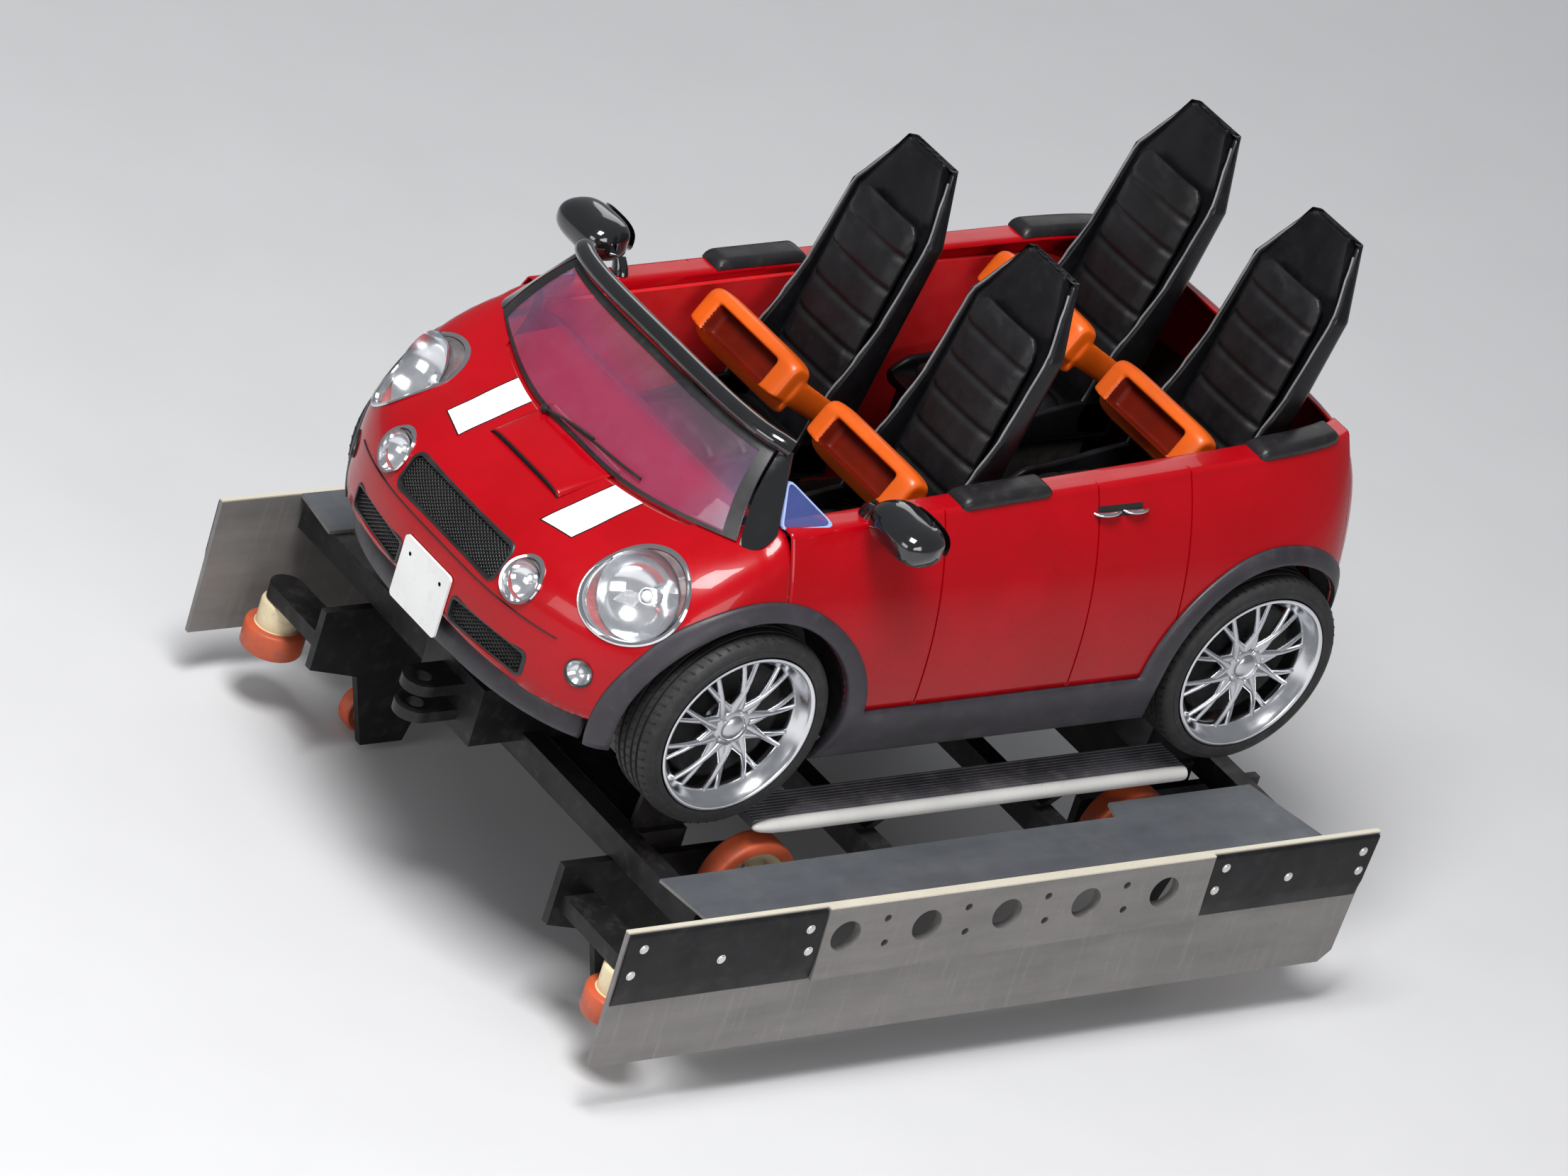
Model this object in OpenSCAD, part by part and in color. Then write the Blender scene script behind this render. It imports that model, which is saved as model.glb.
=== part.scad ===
// Roller coaster car shaped as a small open four-seat hatchback, on tubular-rail wheel carriers.
// X points forward, Y to the car's left and Z up; heights inside the modules are measured from
// the axles of the four road wheels, and the finished car is lifted so that it stands at Z = 0.

/* [Body] */
// Distance between the front and rear road wheel axles
wheelbase = 1380; // [1300:10:1460]
// Half of the body's width at its widest level
body_half = 594; // [570:1:610]
// Front of the bumper, ahead of the middle of the wheelbase
nose_x = 1115; // [1090:1:1140]
// Back of the tail, behind the middle of the wheelbase
tail_x = 1050; // [1020:1:1080]
// Height of the body's widest level
waist_z = 60; // [40:1:80]
// Height that the side walls would close at, which sets how far they lean in
side_rise = 651; // [600:1:700]
// Height of the sides' top edge beside the windscreen
belt_front_z = 428; // [410:1:450]
// Height of the sides' top edge at the back
belt_rear_z = 488; // [450:1:510]
// Height of the bonnet at its rear edge
bonnet_z = 395; // [370:1:405]
// Fall of the bonnet for each millimetre forward
bonnet_fall = 0.36; // [0.3:0.01:0.42]
// Height of the painted body's lower edge between the wheels
sill_z = 20; // [0:1:40]
// Height of the painted bumpers' lower edge
bumper_z = -25; // [-40:1:-10]
// Thickness of the side walls
wall_t = 60; // [50:1:64]
// Thickness of the nose and tail mouldings
shell_t = 24; // [15:1:30]
// Seam between the side walls and the nose, ahead of the middle
cowl_x = 640; // [620:1:660]
// Seam between the side walls and the tail, behind the middle
deck_x = 905; // [895:1:915]

/* [Road wheels] */
// Outside diameter of the road tyres
tyre_d = 460; // [430:2:480]
// Diameter of the rims at their outer lip
rim_d = 375; // [350:1:385]
// Width of the road tyres
tyre_w = 136; // [110:2:140]
// Distance from the middle of the car to the wheels' outer faces
rim_face_y = 599; // [590:1:604]
// Spokes of a rim
spoke_n = 10; // [8:1:12]
// Radius of the wheel arch openings
arch_r = 262; // [250:1:268]

/* [Cladding] */
// Width of the arch trims at the top of the arch
arch_band = 40; // [30:1:50]
// How far the dark trims stand proud of the paint
trim_proud = 13; // [8:1:18]
// Height of the sill trims' lower edge
trim_low_z = -115; // [-125:1:-100]

/* [Seats] */
// Distance from the middle of the car to the middle of a seat
seat_y = 226; // [222:1:228]
// Distance between the front and rear rows
row_pitch = 770; // [765:1:775]
// Front face of the front row's backrests at cushion height
seat_back_x = 65; // [60:1:75]
// Height of the front cushions' tops
cushion_z = 215; // [200:1:225]
// How much higher the rear row sits
rear_row_rise = 35; // [20:1:45]
// Width of a seat shell
seat_w = 300; // [280:2:304]
// Length of a backrest above its cushion
back_len = 655; // [600:5:680]
// Backwards lean of the backrests in degrees
recline = 13; // [10:0.5:15]

/* [Lap bars] */
// Distance from a lap bar's pivot to the middle of its pad
bar_reach = 300; // [285:1:310]
// Rise of the closed lap bar above level in degrees
bar_angle = 31; // [28:1:34]
// Thickness of a lap bar's side arms
bar_arm_t = 16; // [12:1:18]

/* [Running gear] */
// Distance from the middle of the car to the middle of a rail
rail_y = 560; // [550:1:570]
// Outside radius of the rails that the wheels are set for
rail_r = 60; // [57:1:62]
// Depth of the rails' centre line below the road wheel axles
rail_drop = 581; // [575:1:590]
// Diameter of the running wheels
run_d = 220; // [200:2:226]
// Width of the running wheels' treads
run_w = 60; // [50:1:64]
// Diameter of the guide wheels
guide_d = 140; // [130:2:144]
// Diameter of the up-stop wheels
upstop_d = 110; // [100:2:116]
// Gap between the up-stop wheels and the rails
upstop_gap = 4; // [2:0.5:6]
// Running wheels ahead of and behind the middle
run_x = 513; // [500:1:530]
// Guide wheels ahead of and behind the middle
guide_x = 880; // [860:1:900]

/* [Fins and steps] */
// Distance from the middle of the car to the outside of a fin
fin_y = 823; // [815:1:835]
// Thickness of a fin
fin_t = 12; // [8:1:15]
// Height of a fin's top edge
fin_top_z = -298; // [-305:1:-290]
// Height of a fin
fin_h = 340; // [320:1:350]
// Front end of the fins' lower edge
fin_front_x = 1022; // [1000:1:1040]
// Rear end of the fins' top edge
fin_rear_x = 1004; // [990:1:1020]
// Diameter of the large holes in a fin
fin_hole_d = 76; // [60:1:84]
// Pitch of the large holes
fin_hole_pitch = 215; // [205:1:220]
// Height of the steps' top surface
step_z = -243; // [-248:1:-238]
// Depth of the steps from their outer edge
step_w = 112; // [100:1:120]
// Length of a step
step_len = 1170; // [1100:5:1200]

/* [Hidden] */
$fn = 64;

axle_x = wheelbase / 2;
rail_z = -rail_drop;
upstop_z = rail_z - rail_r - upstop_gap - upstop_d / 2;
axle_h = upstop_d / 2 - upstop_z;
run_z = rail_z + rail_r + run_d / 2;
guide_y = rail_y + rail_r + 3 + guide_d / 2;
seam = 0.3;

// Colours as the photograph shows them
red = [0.75, 0.02, 0.03];
dark = [0.19, 0.19, 0.21];
black = [0.06, 0.06, 0.07];
silver = [0.78, 0.79, 0.82];
aluminium = [0.55, 0.55, 0.56];
orange = [0.93, 0.36, 0.05];
cream = [0.87, 0.82, 0.68];
tread_red = [0.72, 0.17, 0.06];
lamp_clear = [0.86, 0.89, 0.92];
glass_tint = [0.75, 0.82, 0.9, 0.4];

// Body surface

// Where the plan starts to close towards the nose and the tail
front_from = 350;
rear_from = 200;
// Radius centre of the sides below the widest level
tuck_depth = 406;
side_pow = 2.2;

function clamp01(t) = min(1, max(0, t));
function mix(a, b, t) = a + (b - a) * t;
function ease(t) = let (c = clamp01(t)) c * c * (3 - 2 * c);
function front_t(x, d) = clamp01((x - front_from) / (nose_x - d - front_from));
function rear_t(x, d) = clamp01((-x - rear_from) / (tail_x - d - rear_from));
function end_curve(t, power, root) = pow(max(1e-9, 1 - pow(t, power)), 1 / root);
function half_w(x, d) =
    (body_half - d) * end_curve(front_t(x, d), 5, 2.5) * end_curve(rear_t(x, d), 8, 2.5);
// How far the nose and tail have closed in height
function end_h(x, d) = end_curve(clamp01((x - cowl_x) / (nose_x - d - cowl_x)), 11, 2)
    * end_curve(clamp01((-x - 700) / (tail_x - d - 700)), 7, 2);
function chin_h(x, d) = end_curve(clamp01((x - cowl_x) / (nose_x - d - cowl_x)), 11, 5)
    * end_curve(clamp01((-x - 700) / (tail_x - d - 700)), 7, 5);
function belt_z(x) = mix(belt_front_z, belt_rear_z, clamp01((cowl_x - x) / (cowl_x + 850)));
// Height of the bonnet, or of the level that the sides are cut at
function deck_z(x) = x > cowl_x + 60 ? bonnet_z - bonnet_fall * (x - cowl_x - 60)
    : mix(belt_z(min(x, cowl_x)), bonnet_z, ease((x - cowl_x) / 60));
// How square the shoulder is
function shoulder(x) = x > 0 ? mix(24, 4, ease((x - 560) / 380)) : mix(24, 7, ease((-x - 850) / 120));
function polar(a, b, r1) = pow(pow(a, -r1) + pow(b, -r1), -1 / r1);
function side_r(x, th, d, rise) =
    pow(pow(max(1e-6, abs(cos(th))) / half_w(x, d), side_pow) + pow(abs(sin(th)) / rise, side_pow), -1 / side_pow);
// Distance of the surface from the middle of the section at x, at th degrees above level
function body_r(x, th, d, open = false) = sin(th) >= 0
    ? (open ? side_r(x, th, d, side_rise)
        : polar(side_r(x, th, d, side_rise), (deck_z(x) - waist_z - d) * end_h(x, d) / max(1e-3, sin(th)), shoulder(x)))
    : polar(side_r(x, th, d, tuck_depth), (waist_z - bumper_z - d) * chin_h(x, d) / max(1e-3, -sin(th)), 12);
function on_body(x, th, d = 0) = let (r = body_r(x, th, d)) [x, r * cos(th), waist_z + r * sin(th)];
// Angle at which the section at x reaches height z, found by halving
function angle_at(x, z, d, lo = -80, hi = 85, steps = 14) = let (m = (lo + hi) / 2) steps == 0 ? m
    : (waist_z + body_r(x, m, d) * sin(m) < z) ? angle_at(x, z, d, m, hi, steps - 1) : angle_at(x, z, d, lo, m, steps - 1);
// Half width of the side walls, which stay open above
function side_y(x, z, d = 0) = let (rise = z > waist_z ? side_rise : tuck_depth)
    (half_w(x, 0)) * pow(max(0, 1 - pow(abs(z - waist_z) / rise, side_pow)), 1 / side_pow) - d;
// Half width of the closed body at a height
function skin_y(x, z) = let (th = angle_at(x, z, 0)) body_r(x, th, 0) * cos(th);
// Inner surfaces close in front of the outer ones
function inner_x(x, d) = x - d * pow(front_t(x, 0), 8) + d * pow(rear_t(x, 0), 8);
// Lower edge of the painted panels, round the arches
function arch_z(x, r) = let (a = abs(abs(x) - axle_x)) a < r ? sqrt(r * r - a * a) : -1e3;
function panel_low(x) = max(arch_z(x, arch_r), abs(x) > axle_x ? bumper_z : sill_z);

// Closed solid between two grids of points of the same size, whichever way round the grids run
module slab(outer, inner) {
    n = len(outer);
    m = len(outer[0]);
    a = n * m;
    i0 = floor((n - 1) / 2);
    j0 = floor((m - 1) / 2);
    corner = outer[i0][j0];
    turned_in = cross(outer[i0 + 1][j0] - corner, outer[i0][j0 + 1] - corner) * (corner - inner[i0][j0]) < 0;
    points = concat([for (row = outer) for (p = row) p], [for (row = inner) for (p = row) p]);
    faces = concat(
        [for (i = [0:n - 2]) for (j = [0:m - 2]) each [[i * m + j, i * m + j + 1, (i + 1) * m + j + 1],
            [i * m + j, (i + 1) * m + j + 1, (i + 1) * m + j]]],
        [for (i = [0:n - 2]) for (j = [0:m - 2]) each [[a + i * m + j, a + (i + 1) * m + j + 1, a + i * m + j + 1],
            [a + i * m + j, a + (i + 1) * m + j, a + (i + 1) * m + j + 1]]],
        [for (i = [0:n - 2]) each [[i * m, (i + 1) * m, a + (i + 1) * m], [i * m, a + (i + 1) * m, a + i * m]]],
        [for (i = [0:n - 2]) each [[i * m + m - 1, a + (i + 1) * m + m - 1, (i + 1) * m + m - 1],
            [i * m + m - 1, a + i * m + m - 1, a + (i + 1) * m + m - 1]]],
        [for (j = [0:m - 2]) each [[j, a + j + 1, j + 1], [j, a + j, a + j + 1]]],
        [for (j = [0:m - 2]) let (k = (n - 1) * m + j) each [[k, k + 1, a + k + 1], [k, a + k + 1, a + k]]]);
    polyhedron(points, turned_in ? [for (f = faces) [f[2], f[1], f[0]]] : faces);
}

// Round or oval bar along a path, with its section turned to the path
module bar(path, r, sides = 8) {
    n = len(path);
    dir = [for (i = [0:n - 1]) let (v = path[min(n - 1, i + 1)] - path[max(0, i - 1)]) v / norm(v)];
    points = [for (i = [0:n - 1]) let (s = let (c = cross(dir[i], [0.3, 0, 1])) c / norm(c), u = cross(dir[i], s))
        for (k = [0:sides - 1]) path[i] + r[0] * cos(360 * k / sides) * s + r[1] * sin(360 * k / sides) * u];
    faces = concat([[for (k = [0:sides - 1]) k]], [[for (k = [sides - 1:-1:0]) (n - 1) * sides + k]],
        [for (i = [0:n - 2]) for (k = [0:sides - 1]) let (l = (k + 1) % sides)
            each [[i * sides + k, (i + 1) * sides + k, (i + 1) * sides + l], [i * sides + k, (i + 1) * sides + l, i * sides + l]]]);
    polyhedron(points, faces);
}

module both_sides() {
    children();
    mirror([0, 1, 0]) children();
}

// Line that the windscreen stands on, and the rear edge of the nose panel, by the angle round the section
function screen_base(th) = let (a = min(th, 180 - th), q = (body_half - 49) * cos(a) / (body_half - 132))
    cowl_x + 30 + 168 * sqrt(max(0, 1 - pow(min(1, q), 5)));
function bonnet_back(th) = let (a = min(th, 180 - th)) a < 38 ? cowl_x : mix(cowl_x, screen_base(th), clamp01((a - 38) / 3));

// Angles round the nose, closer together at the shoulders
nose_angles = [24, 28, 31, 34, 36, 38, 41, 45, 52, 62, 75, 90, 105, 118, 128, 135, 139, 142, 144, 146, 149, 152, 156];
// Distances along the nose from its seam (0) to its tip (1)
nose_stations = [0, 0.1, 0.2, 0.32, 0.44, 0.54, 0.6, 0.64, 0.66, 0.72, 0.8, 0.87, 0.92, 0.955, 0.98, 0.993, 0.999];
function nose_x_at(u, th) = mix(bonnet_back(th), nose_x, u);
// Angle of the short return under a bumper, which reaches the middle at the tip
function return_angle(x, tip, from) = mix(-atan2(waist_z - bumper_z, max(8, half_w(x, 0) - 60)), -88.5, ease((abs(x) - from) / (tip - from)));
// Lowest angle of the nose panel: the arch, or the return under the bumper
function nose_low(x) = x < axle_x + arch_r - 1 ? angle_at(x, panel_low(x), 0) : return_angle(x, nose_x, axle_x + arch_r);
function nose_ring(u, d) = let (x0 = nose_x_at(u, 20), lo = nose_low(x0),
    side = [for (s = [0:0.2:0.99]) mix(lo, 22, s)],
    angles = concat(side, nose_angles, [for (i = [len(side) - 1:-1:0]) 180 - side[i]]))
    [for (th = angles) on_body(inner_x(nose_x_at(u, th), d), th, d)];

module nose() {
    color(red) slab([for (u = nose_stations) nose_ring(u, 0)], [for (u = nose_stations) nose_ring(u, shell_t)]);
}

// Stations of the side walls from the tail seam forward, closer together round the arches
side_xs = concat([-deck_x + seam], [for (a = [140:-20:0]) -axle_x + arch_r * cos(a)],
    [-300, -150, 0, 150, 300], [for (a = [180:-20:120]) axle_x + arch_r * cos(a)], [cowl_x - seam]);
module side() {
    color(red) slab(
        [for (x = side_xs) [for (s = [0:1 / 6:1.001]) let (z = mix(panel_low(x), belt_z(x), s)) [x, side_y(x, z), z]]],
        [for (x = side_xs) [for (s = [0:1 / 6:1.001]) let (z = mix(panel_low(x), belt_z(x), s)) [x, side_y(x, z, wall_t), z]]]);
}

tail_stations = [-deck_x, -920, -938, -950, -953, -970, -990, -1008, -1022, -1034, -1042, -1047, -1049.5];
tail_angles = [28, 34, 38, 42, 48, 58, 72, 90, 108, 122, 132, 138, 142, 146, 152];
function tail_ring(x, d) = let (
    xi = min(-deck_x, inner_x(x, d)),
    lo = x > -axle_x - arch_r + 1 ? angle_at(x, panel_low(x), 0) : return_angle(x, tail_x, axle_x + arch_r),
    side = [for (s = [0:0.2:0.99]) mix(lo, 24, s)],
    angles = concat(side, tail_angles, [for (i = [len(side) - 1:-1:0]) 180 - side[i]]))
    [for (th = angles) on_body(xi, th, d)];
module tail() {
    color(red) slab([for (i = [len(tail_stations) - 1:-1:0]) tail_ring(tail_stations[i], 0)],
        [for (i = [len(tail_stations) - 1:-1:0]) tail_ring(tail_stations[i], shell_t)]);
}

// Front or rear face of the closed body at a place across the car and a height, found by halving
function face_x(y, z, lo, hi, d = 0, steps = 16) = let (m = (lo + hi) / 2) steps == 0 ? m
    : body_r(m, atan2(z - waist_z, max(0.01, abs(y))), d) > norm([y, z - waist_z]) ? face_x(y, z, m, hi, d, steps - 1)
    : face_x(y, z, lo, m, d, steps - 1);
function nose_face(y, z, d = 0) = face_x(y, z, cowl_x, nose_x - 0.01 - d, d);
function tail_face(y, z, d = 0) = face_x(y, z, -deck_x, -tail_x + 0.01 + d, d);

// Lamps: place, radius, depth and direction of each kind
headlamp = [[nose_x - 186, body_half - 162, 262], 103, 62, [0.9, 0.3, 0.36]];
driving_lamp = [[nose_x - 41, body_half - 345, 196], 47, 46, [1, 0.08, 0.05]];
marker_lamp = [[nose_x - 89, body_half - 153, 85], 30, 30, [0.86, 0.5, 0.02]];
fit_gap = 0.3;
module aimed(lamp) {
    n = lamp[3] / norm(lamp[3]);
    translate(lamp[0]) rotate([0, acos(n[2]), atan2(n[1], n[0])]) children();
}
// Lamp body with a domed lens, its face at the lamp's place
module lamp(l) {
    dome = l[1] * 2.2;
    aimed(l) {
        turned(concat([[0, -l[2]], [l[1], -l[2]]],
            [for (k = [4:-1:0]) let (q = l[1] * k / 4) [q, sqrt(dome * dome - q * q) - sqrt(dome * dome - l[1] * l[1])]]));
    }
}
module lamp_hole(l) {
    aimed(l) translate([0, 0, -l[2] - 40]) cylinder(r = l[1] + fit_gap, h = l[2] + 140);
}

module nose_panel() {
    color(red) difference() {
        nose();
        both_sides() {
            lamp_hole(headlamp);
            lamp_hole(driving_lamp);
            lamp_hole(marker_lamp);
        }
    }
}
module headlamps() {
    color(lamp_clear) both_sides() lamp(headlamp);
}
module driving_lamps() {
    color(lamp_clear) both_sides() lamp(driving_lamp);
}
module marker_lamps() {
    color(lamp_clear) both_sides() lamp(marker_lamp);
}

// Thin cover that follows the nose or tail between two widths and two heights
module face_patch(y0, y1, z0, z1, back, thick, rear = false, ny = 8, nz = 3) {
    ys = [for (i = [0:ny]) mix(y0, y1, i / ny)];
    zs = [for (j = [0:nz]) mix(z0, z1, j / nz)];
    front = [for (z = zs) [for (y = ys) rear ? [tail_face(y, z) - back - thick, y, z] : [nose_face(y, z) + back + thick, y, z]]];
    rearward = [for (z = zs) [for (y = ys) rear ? [tail_face(y, z) - back, y, z] : [nose_face(y, z) + back, y, z]]];
    if (rear) slab(rearward, front); else slab(front, rearward);
}
module grille() {
    color(dark) {
        face_patch(-190, 190, 150, 232, 3, 5);
        both_sides() face_patch(100, 330, 8, 66, 3, 4, false, 4);
    }
}
module tail_lamps() {
    color([0.85, 0.13, 0.03]) both_sides() face_patch(330, 415, 110, 235, 1, 16, true, 3, 4);
}

// Dark trims: stations from the front arch's foot to the sill, each with an inner and an outer edge
trim_feet = -14;
trim_gap = 2.9;
function trim_reach(a) = arch_r + arch_band + 18 * ease((a - 120) / 60);
arch_stations = [for (a = [trim_feet, -5, 5, 15, 25, 36, 48, 64, 84, 104, 124, 144, 162, 176])
    [[axle_x + arch_r * cos(a), arch_r * sin(a)], [axle_x + trim_reach(a) * cos(a), trim_reach(a) * sin(a)]]];
corner_stations = [for (k = [0.35, 0.7, 1]) let (a = mix(180, 180 + asin(-trim_low_z / arch_r), k))
    [[axle_x + arch_r * cos(a), arch_r * sin(a)], [axle_x - trim_reach(180) - 40 * k, sill_z]]];
sill_stations = [for (x = [240, 80]) [[x, trim_low_z], [x, sill_z]]];
half_trim = concat(arch_stations, corner_stations, sill_stations);
trim_stations = concat(half_trim, [for (i = [len(half_trim) - 1:-1:0]) [for (p = half_trim[i]) [-p[0], p[1]]]]);
trim_profile = [[0, 0.75], [0.12, 1], [0.5, 1], [0.85, 0.6], [1, 0.25]];
function wall_y(x, z) = z > waist_z && x > cowl_x ? skin_y(x, z) : side_y(x, z);
function trim_row(st, proud) = [for (p = trim_profile) let (q = mix(st[0], st[1], p[0]))
    [q[0], wall_y(q[0], q[1]) + (proud ? 2 + trim_proud * p[1] : trim_gap), q[1]]];
module cladding() {
    color(dark) slab([for (st = trim_stations) trim_row(st, false)], [for (st = trim_stations) trim_row(st, true)]);
}

// Dark lips under the painted bumpers
lip_low_z = -85;
lip_gap = 0.8;
lip_rows = [[bumper_z, 8], [-40, 0], [-68, 0], [lip_low_z, 12]];
// Height of the body's underside at a place, found by halving
function under_z(x, y, lo = -88.5, hi = -3, steps = 12) = let (m = (lo + hi) / 2, r = body_r(x, m, 0)) steps == 0 ? waist_z + r * sin(m)
    : r * cos(m) < abs(y) ? under_z(x, y, m, hi, steps - 1) : under_z(x, y, lo, m, steps - 1);
function lip_point(x, z, d, tip, from) = let (t = clamp01((abs(x) - from) / (tip - from)),
    px = sign(x) * (abs(x) - d * pow(t, 6)), py = max(0, body_half * 0.94 * end_curve(t, 5, 2.5) - d))
    [px, py, z == bumper_z ? under_z(px, py) - lip_gap : z];
lip_marks = [0, 0.3, 0.55, 0.74, 0.86, 0.94, 0.98, 0.997];
function lip_rows_at(x, d, tip, from, side) = [for (r = lip_rows) let (p = lip_point(x, r[0], r[1] + d, tip, from))
    [p[0], side * max(0, p[1]), p[2]]];
module lip(tip, from, start, dir) {
    xs = [for (m = lip_marks) dir * mix(start, tip, m)];
    both = concat([for (x = xs) [x, dir]], [for (i = [len(xs) - 1:-1:0]) [xs[i], -dir]]);
    color(dark) slab([for (b = both) lip_rows_at(b[0], 22, tip, from, b[1])], [for (b = both) lip_rows_at(b[0], 0, tip, from, b[1])]);
}
module lip_front() {
    lip(nose_x - 24, front_from, axle_x + arch_r + 22, 1);
}
module lip_rear() {
    lip(tail_x - 16, rear_from, axle_x + arch_r + 22, -1);
}

// Windscreen from the bonnet's rear edge up to its top frame
screen_edge = 35;
screen_angles = [screen_edge, 37.5, 41, 47, 55, 66, 78, 90, 102, 114, 125, 133, 139, 142.5, 180 - screen_edge];
glass_t = 8;
screen_top_z = 566;
function screen_foot(th) = on_body(screen_base(th), th) - [6, 0, -4.3];
function screen_head(th) = let (y = screen_foot(th)[1] * 0.83)
    [600 + 74 * sqrt(max(0, 1 - pow(min(1, abs(y) / 402), 3))), y, screen_top_z - 12 * pow(y / 385, 2)];
// Point on the glass a share t of the way up, which bulges forward a little
function on_glass(th, t) = mix(screen_foot(th), screen_head(th), t) + [14 * sin(180 * t), 0, 6 * sin(180 * t)];
module windscreen() {
    color(glass_tint) slab(
        [for (th = screen_angles) [for (t = [0.02, 0.35, 0.68, 0.97]) on_glass(th, t)]],
        [for (th = screen_angles) [for (t = [0.02, 0.35, 0.68, 0.97]) on_glass(th, t) - [glass_t, 0, 0]]]);
}
// Height of the body's upper side at a place, found by halving
function over_z(x, y, lo = 5, hi = 90, steps = 14) = let (m = (lo + hi) / 2, r = body_r(x, m, 0)) steps == 0 ? waist_z + r * sin(m)
    : r * cos(m) < abs(y) ? over_z(x, y, lo, m, steps - 1) : over_z(x, y, m, hi, steps - 1);
// Pillars: foot and head of their rear, middle and front edges, and which way their inner face lies
pillar_edges = [[[656, body_half - 108], [600, 396, 552], [5, -14]], [[702, body_half - 103], [614, 402, 556], [-8, -13]]];
function pillar_at(k, t, d) = let (e = pillar_edges[k], foot = [e[0][0] + d * e[2][0], e[0][1] + d * e[2][1]])
    mix([foot[0], foot[1], over_z(foot[0], foot[1]) + 0.7], e[1] + d * [e[2][0], e[2][1], 0], t);
function pillar_row(t, d) = let (g = on_glass(screen_edge, t), p = g + [-4 - 12 * d, 6 + 3 * d, 0])
    [pillar_at(0, t, d), pillar_at(1, t, d), t == 0 ? [p[0], p[1], over_z(p[0], p[1]) + 0.7] : p];
module screen_frame() {
    header = concat([[608, 396, 562]], [for (th = screen_angles) screen_head(th) + [-4, 0, 16]], [[608, -396, 562]]);
    color(black) {
        bar(header, [24, 20]);
        both_sides() slab([for (t = [0:0.25:1]) pillar_row(t, 0)], [for (t = [0:0.25:1]) pillar_row(t, 1)]);
    }
}

// Blank number plates
plate_x = nose_x + 6;
module number_plates() {
    color(silver) {
        forward_at(nose_x + fit_gap, plate_x - nose_x - fit_gap) translate([0, 22]) rounded(176, 150, 10);
        forward_at(-tail_x - 7, 6.7) translate([0, 62]) rounded(250, 110, 8);
    }
}
module forward_at(x, length) {
    translate([x, 0, 0]) forward(length) children();
}

// Dashboard behind the windscreen
module dashboard() {
    dash_y = tub_y - tub_t - fit_gap;
    color(black) across(-dash_y, 2 * dash_y)
        polygon([[cowl_x - 60, 330], [cowl_x - 44, 372], [cowl_x - 12, 388], [cowl_x - 1, 388], [cowl_x - 1, 270], [cowl_x - 40, 262]]);
    color(black) across(-300, 600)
        polygon([[cowl_x - 12, 387], [cowl_x - 2, 387], [cowl_x + 146, 344], [cowl_x + 146, 330], [cowl_x - 2, 370], [cowl_x - 12, 370]]);
}

// Inner moulding of the cockpit
tub_t = 12;
tub_y = body_half - 154;
floor_z = -130;
tub_front = cowl_x - 12;
tub_rear = -deck_x + 30;
module tub() {
    color(black) {
        both_sides() across(tub_y - tub_t, tub_t) polygon([[tub_rear, floor_z + 1], [tub_front, floor_z + 1], [tub_front, 408],
            [0, 428], [-700, 432], [tub_rear, 366]]);
        translate([tub_rear, -tub_y, floor_z]) cube([tub_front - tub_rear, 2 * tub_y, tub_t]);
        for (x = [tub_rear, tub_front - tub_t]) translate([x, -tub_y + tub_t - 1, floor_z + 1])
            cube([tub_t, 2 * (tub_y - tub_t + 1), x < 0 ? 380 : 384]);
        for (row = [0, 1]) both_sides() translate([seat_x(row) + 40, seat_y - 140, floor_z + tub_t - 1])
            cube([320, 280, pan_z(row) - floor_z - tub_t + 1 - fit_gap]);
    }
}

// Seats
back_t = 40;
pan_t = 28;
pad_t = 55;
seat_len = 400;
side_t = 18;
function seat_x(row) = seat_back_x - row * row_pitch;
function seat_top(row) = cushion_z + row * rear_row_rise;
function pan_z(row) = seat_top(row) - pad_t - pan_t;
// Places a piece drawn for the left seat of a row, with its origin at the backrest's foot
module at_seat(row, left) {
    mirror([0, left ? 0 : 1, 0]) translate([seat_x(row), seat_y, seat_top(row)]) children();
}
// Extrudes a shape drawn in Y and Z forward along X
module forward(length) {
    rotate([90, 0, 90]) linear_extrude(length) children();
}
// Extrudes a shape drawn in X and Z along Y, from y0 by the width given
module across(y0, width) {
    translate([0, y0 + width, 0]) rotate([90, 0, 0]) linear_extrude(width) children();
}
module rounded(w, h, r) {
    for (x = [-1, 1]) for (y = [-1, 1]) translate([x * (w / 2 - r), y * (h / 2 - r)]) circle(r);
    square([w - 2 * r, h], center = true);
    square([w, h - 2 * r], center = true);
}
hinge_x = -85;
hinge_z = 15;
hinge_r = 11;
module seat_profile() {
    rotate(recline) translate([-back_t, -70]) square([back_t, back_len + 70]);
    translate([0, -pad_t - pan_t]) square([seat_len, pan_t]);
    rotate(recline) translate([-back_t, -88]) square([back_t + 40, 60]);
}
module seat_wing() {
    shoulder_z = back_len - 150;
    seat_profile();
    rotate(recline) polygon([[-back_t, -70], [90, -40], [72, 120], [26, 300], [16, shoulder_z - 20], [-20, back_len]]);
    polygon([[-10, -pad_t - pan_t], [seat_len, -pad_t - pan_t], [seat_len, -pad_t + 10], [seat_len - 60, -18], [60, 20], [-10, 20]]);
}
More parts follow.
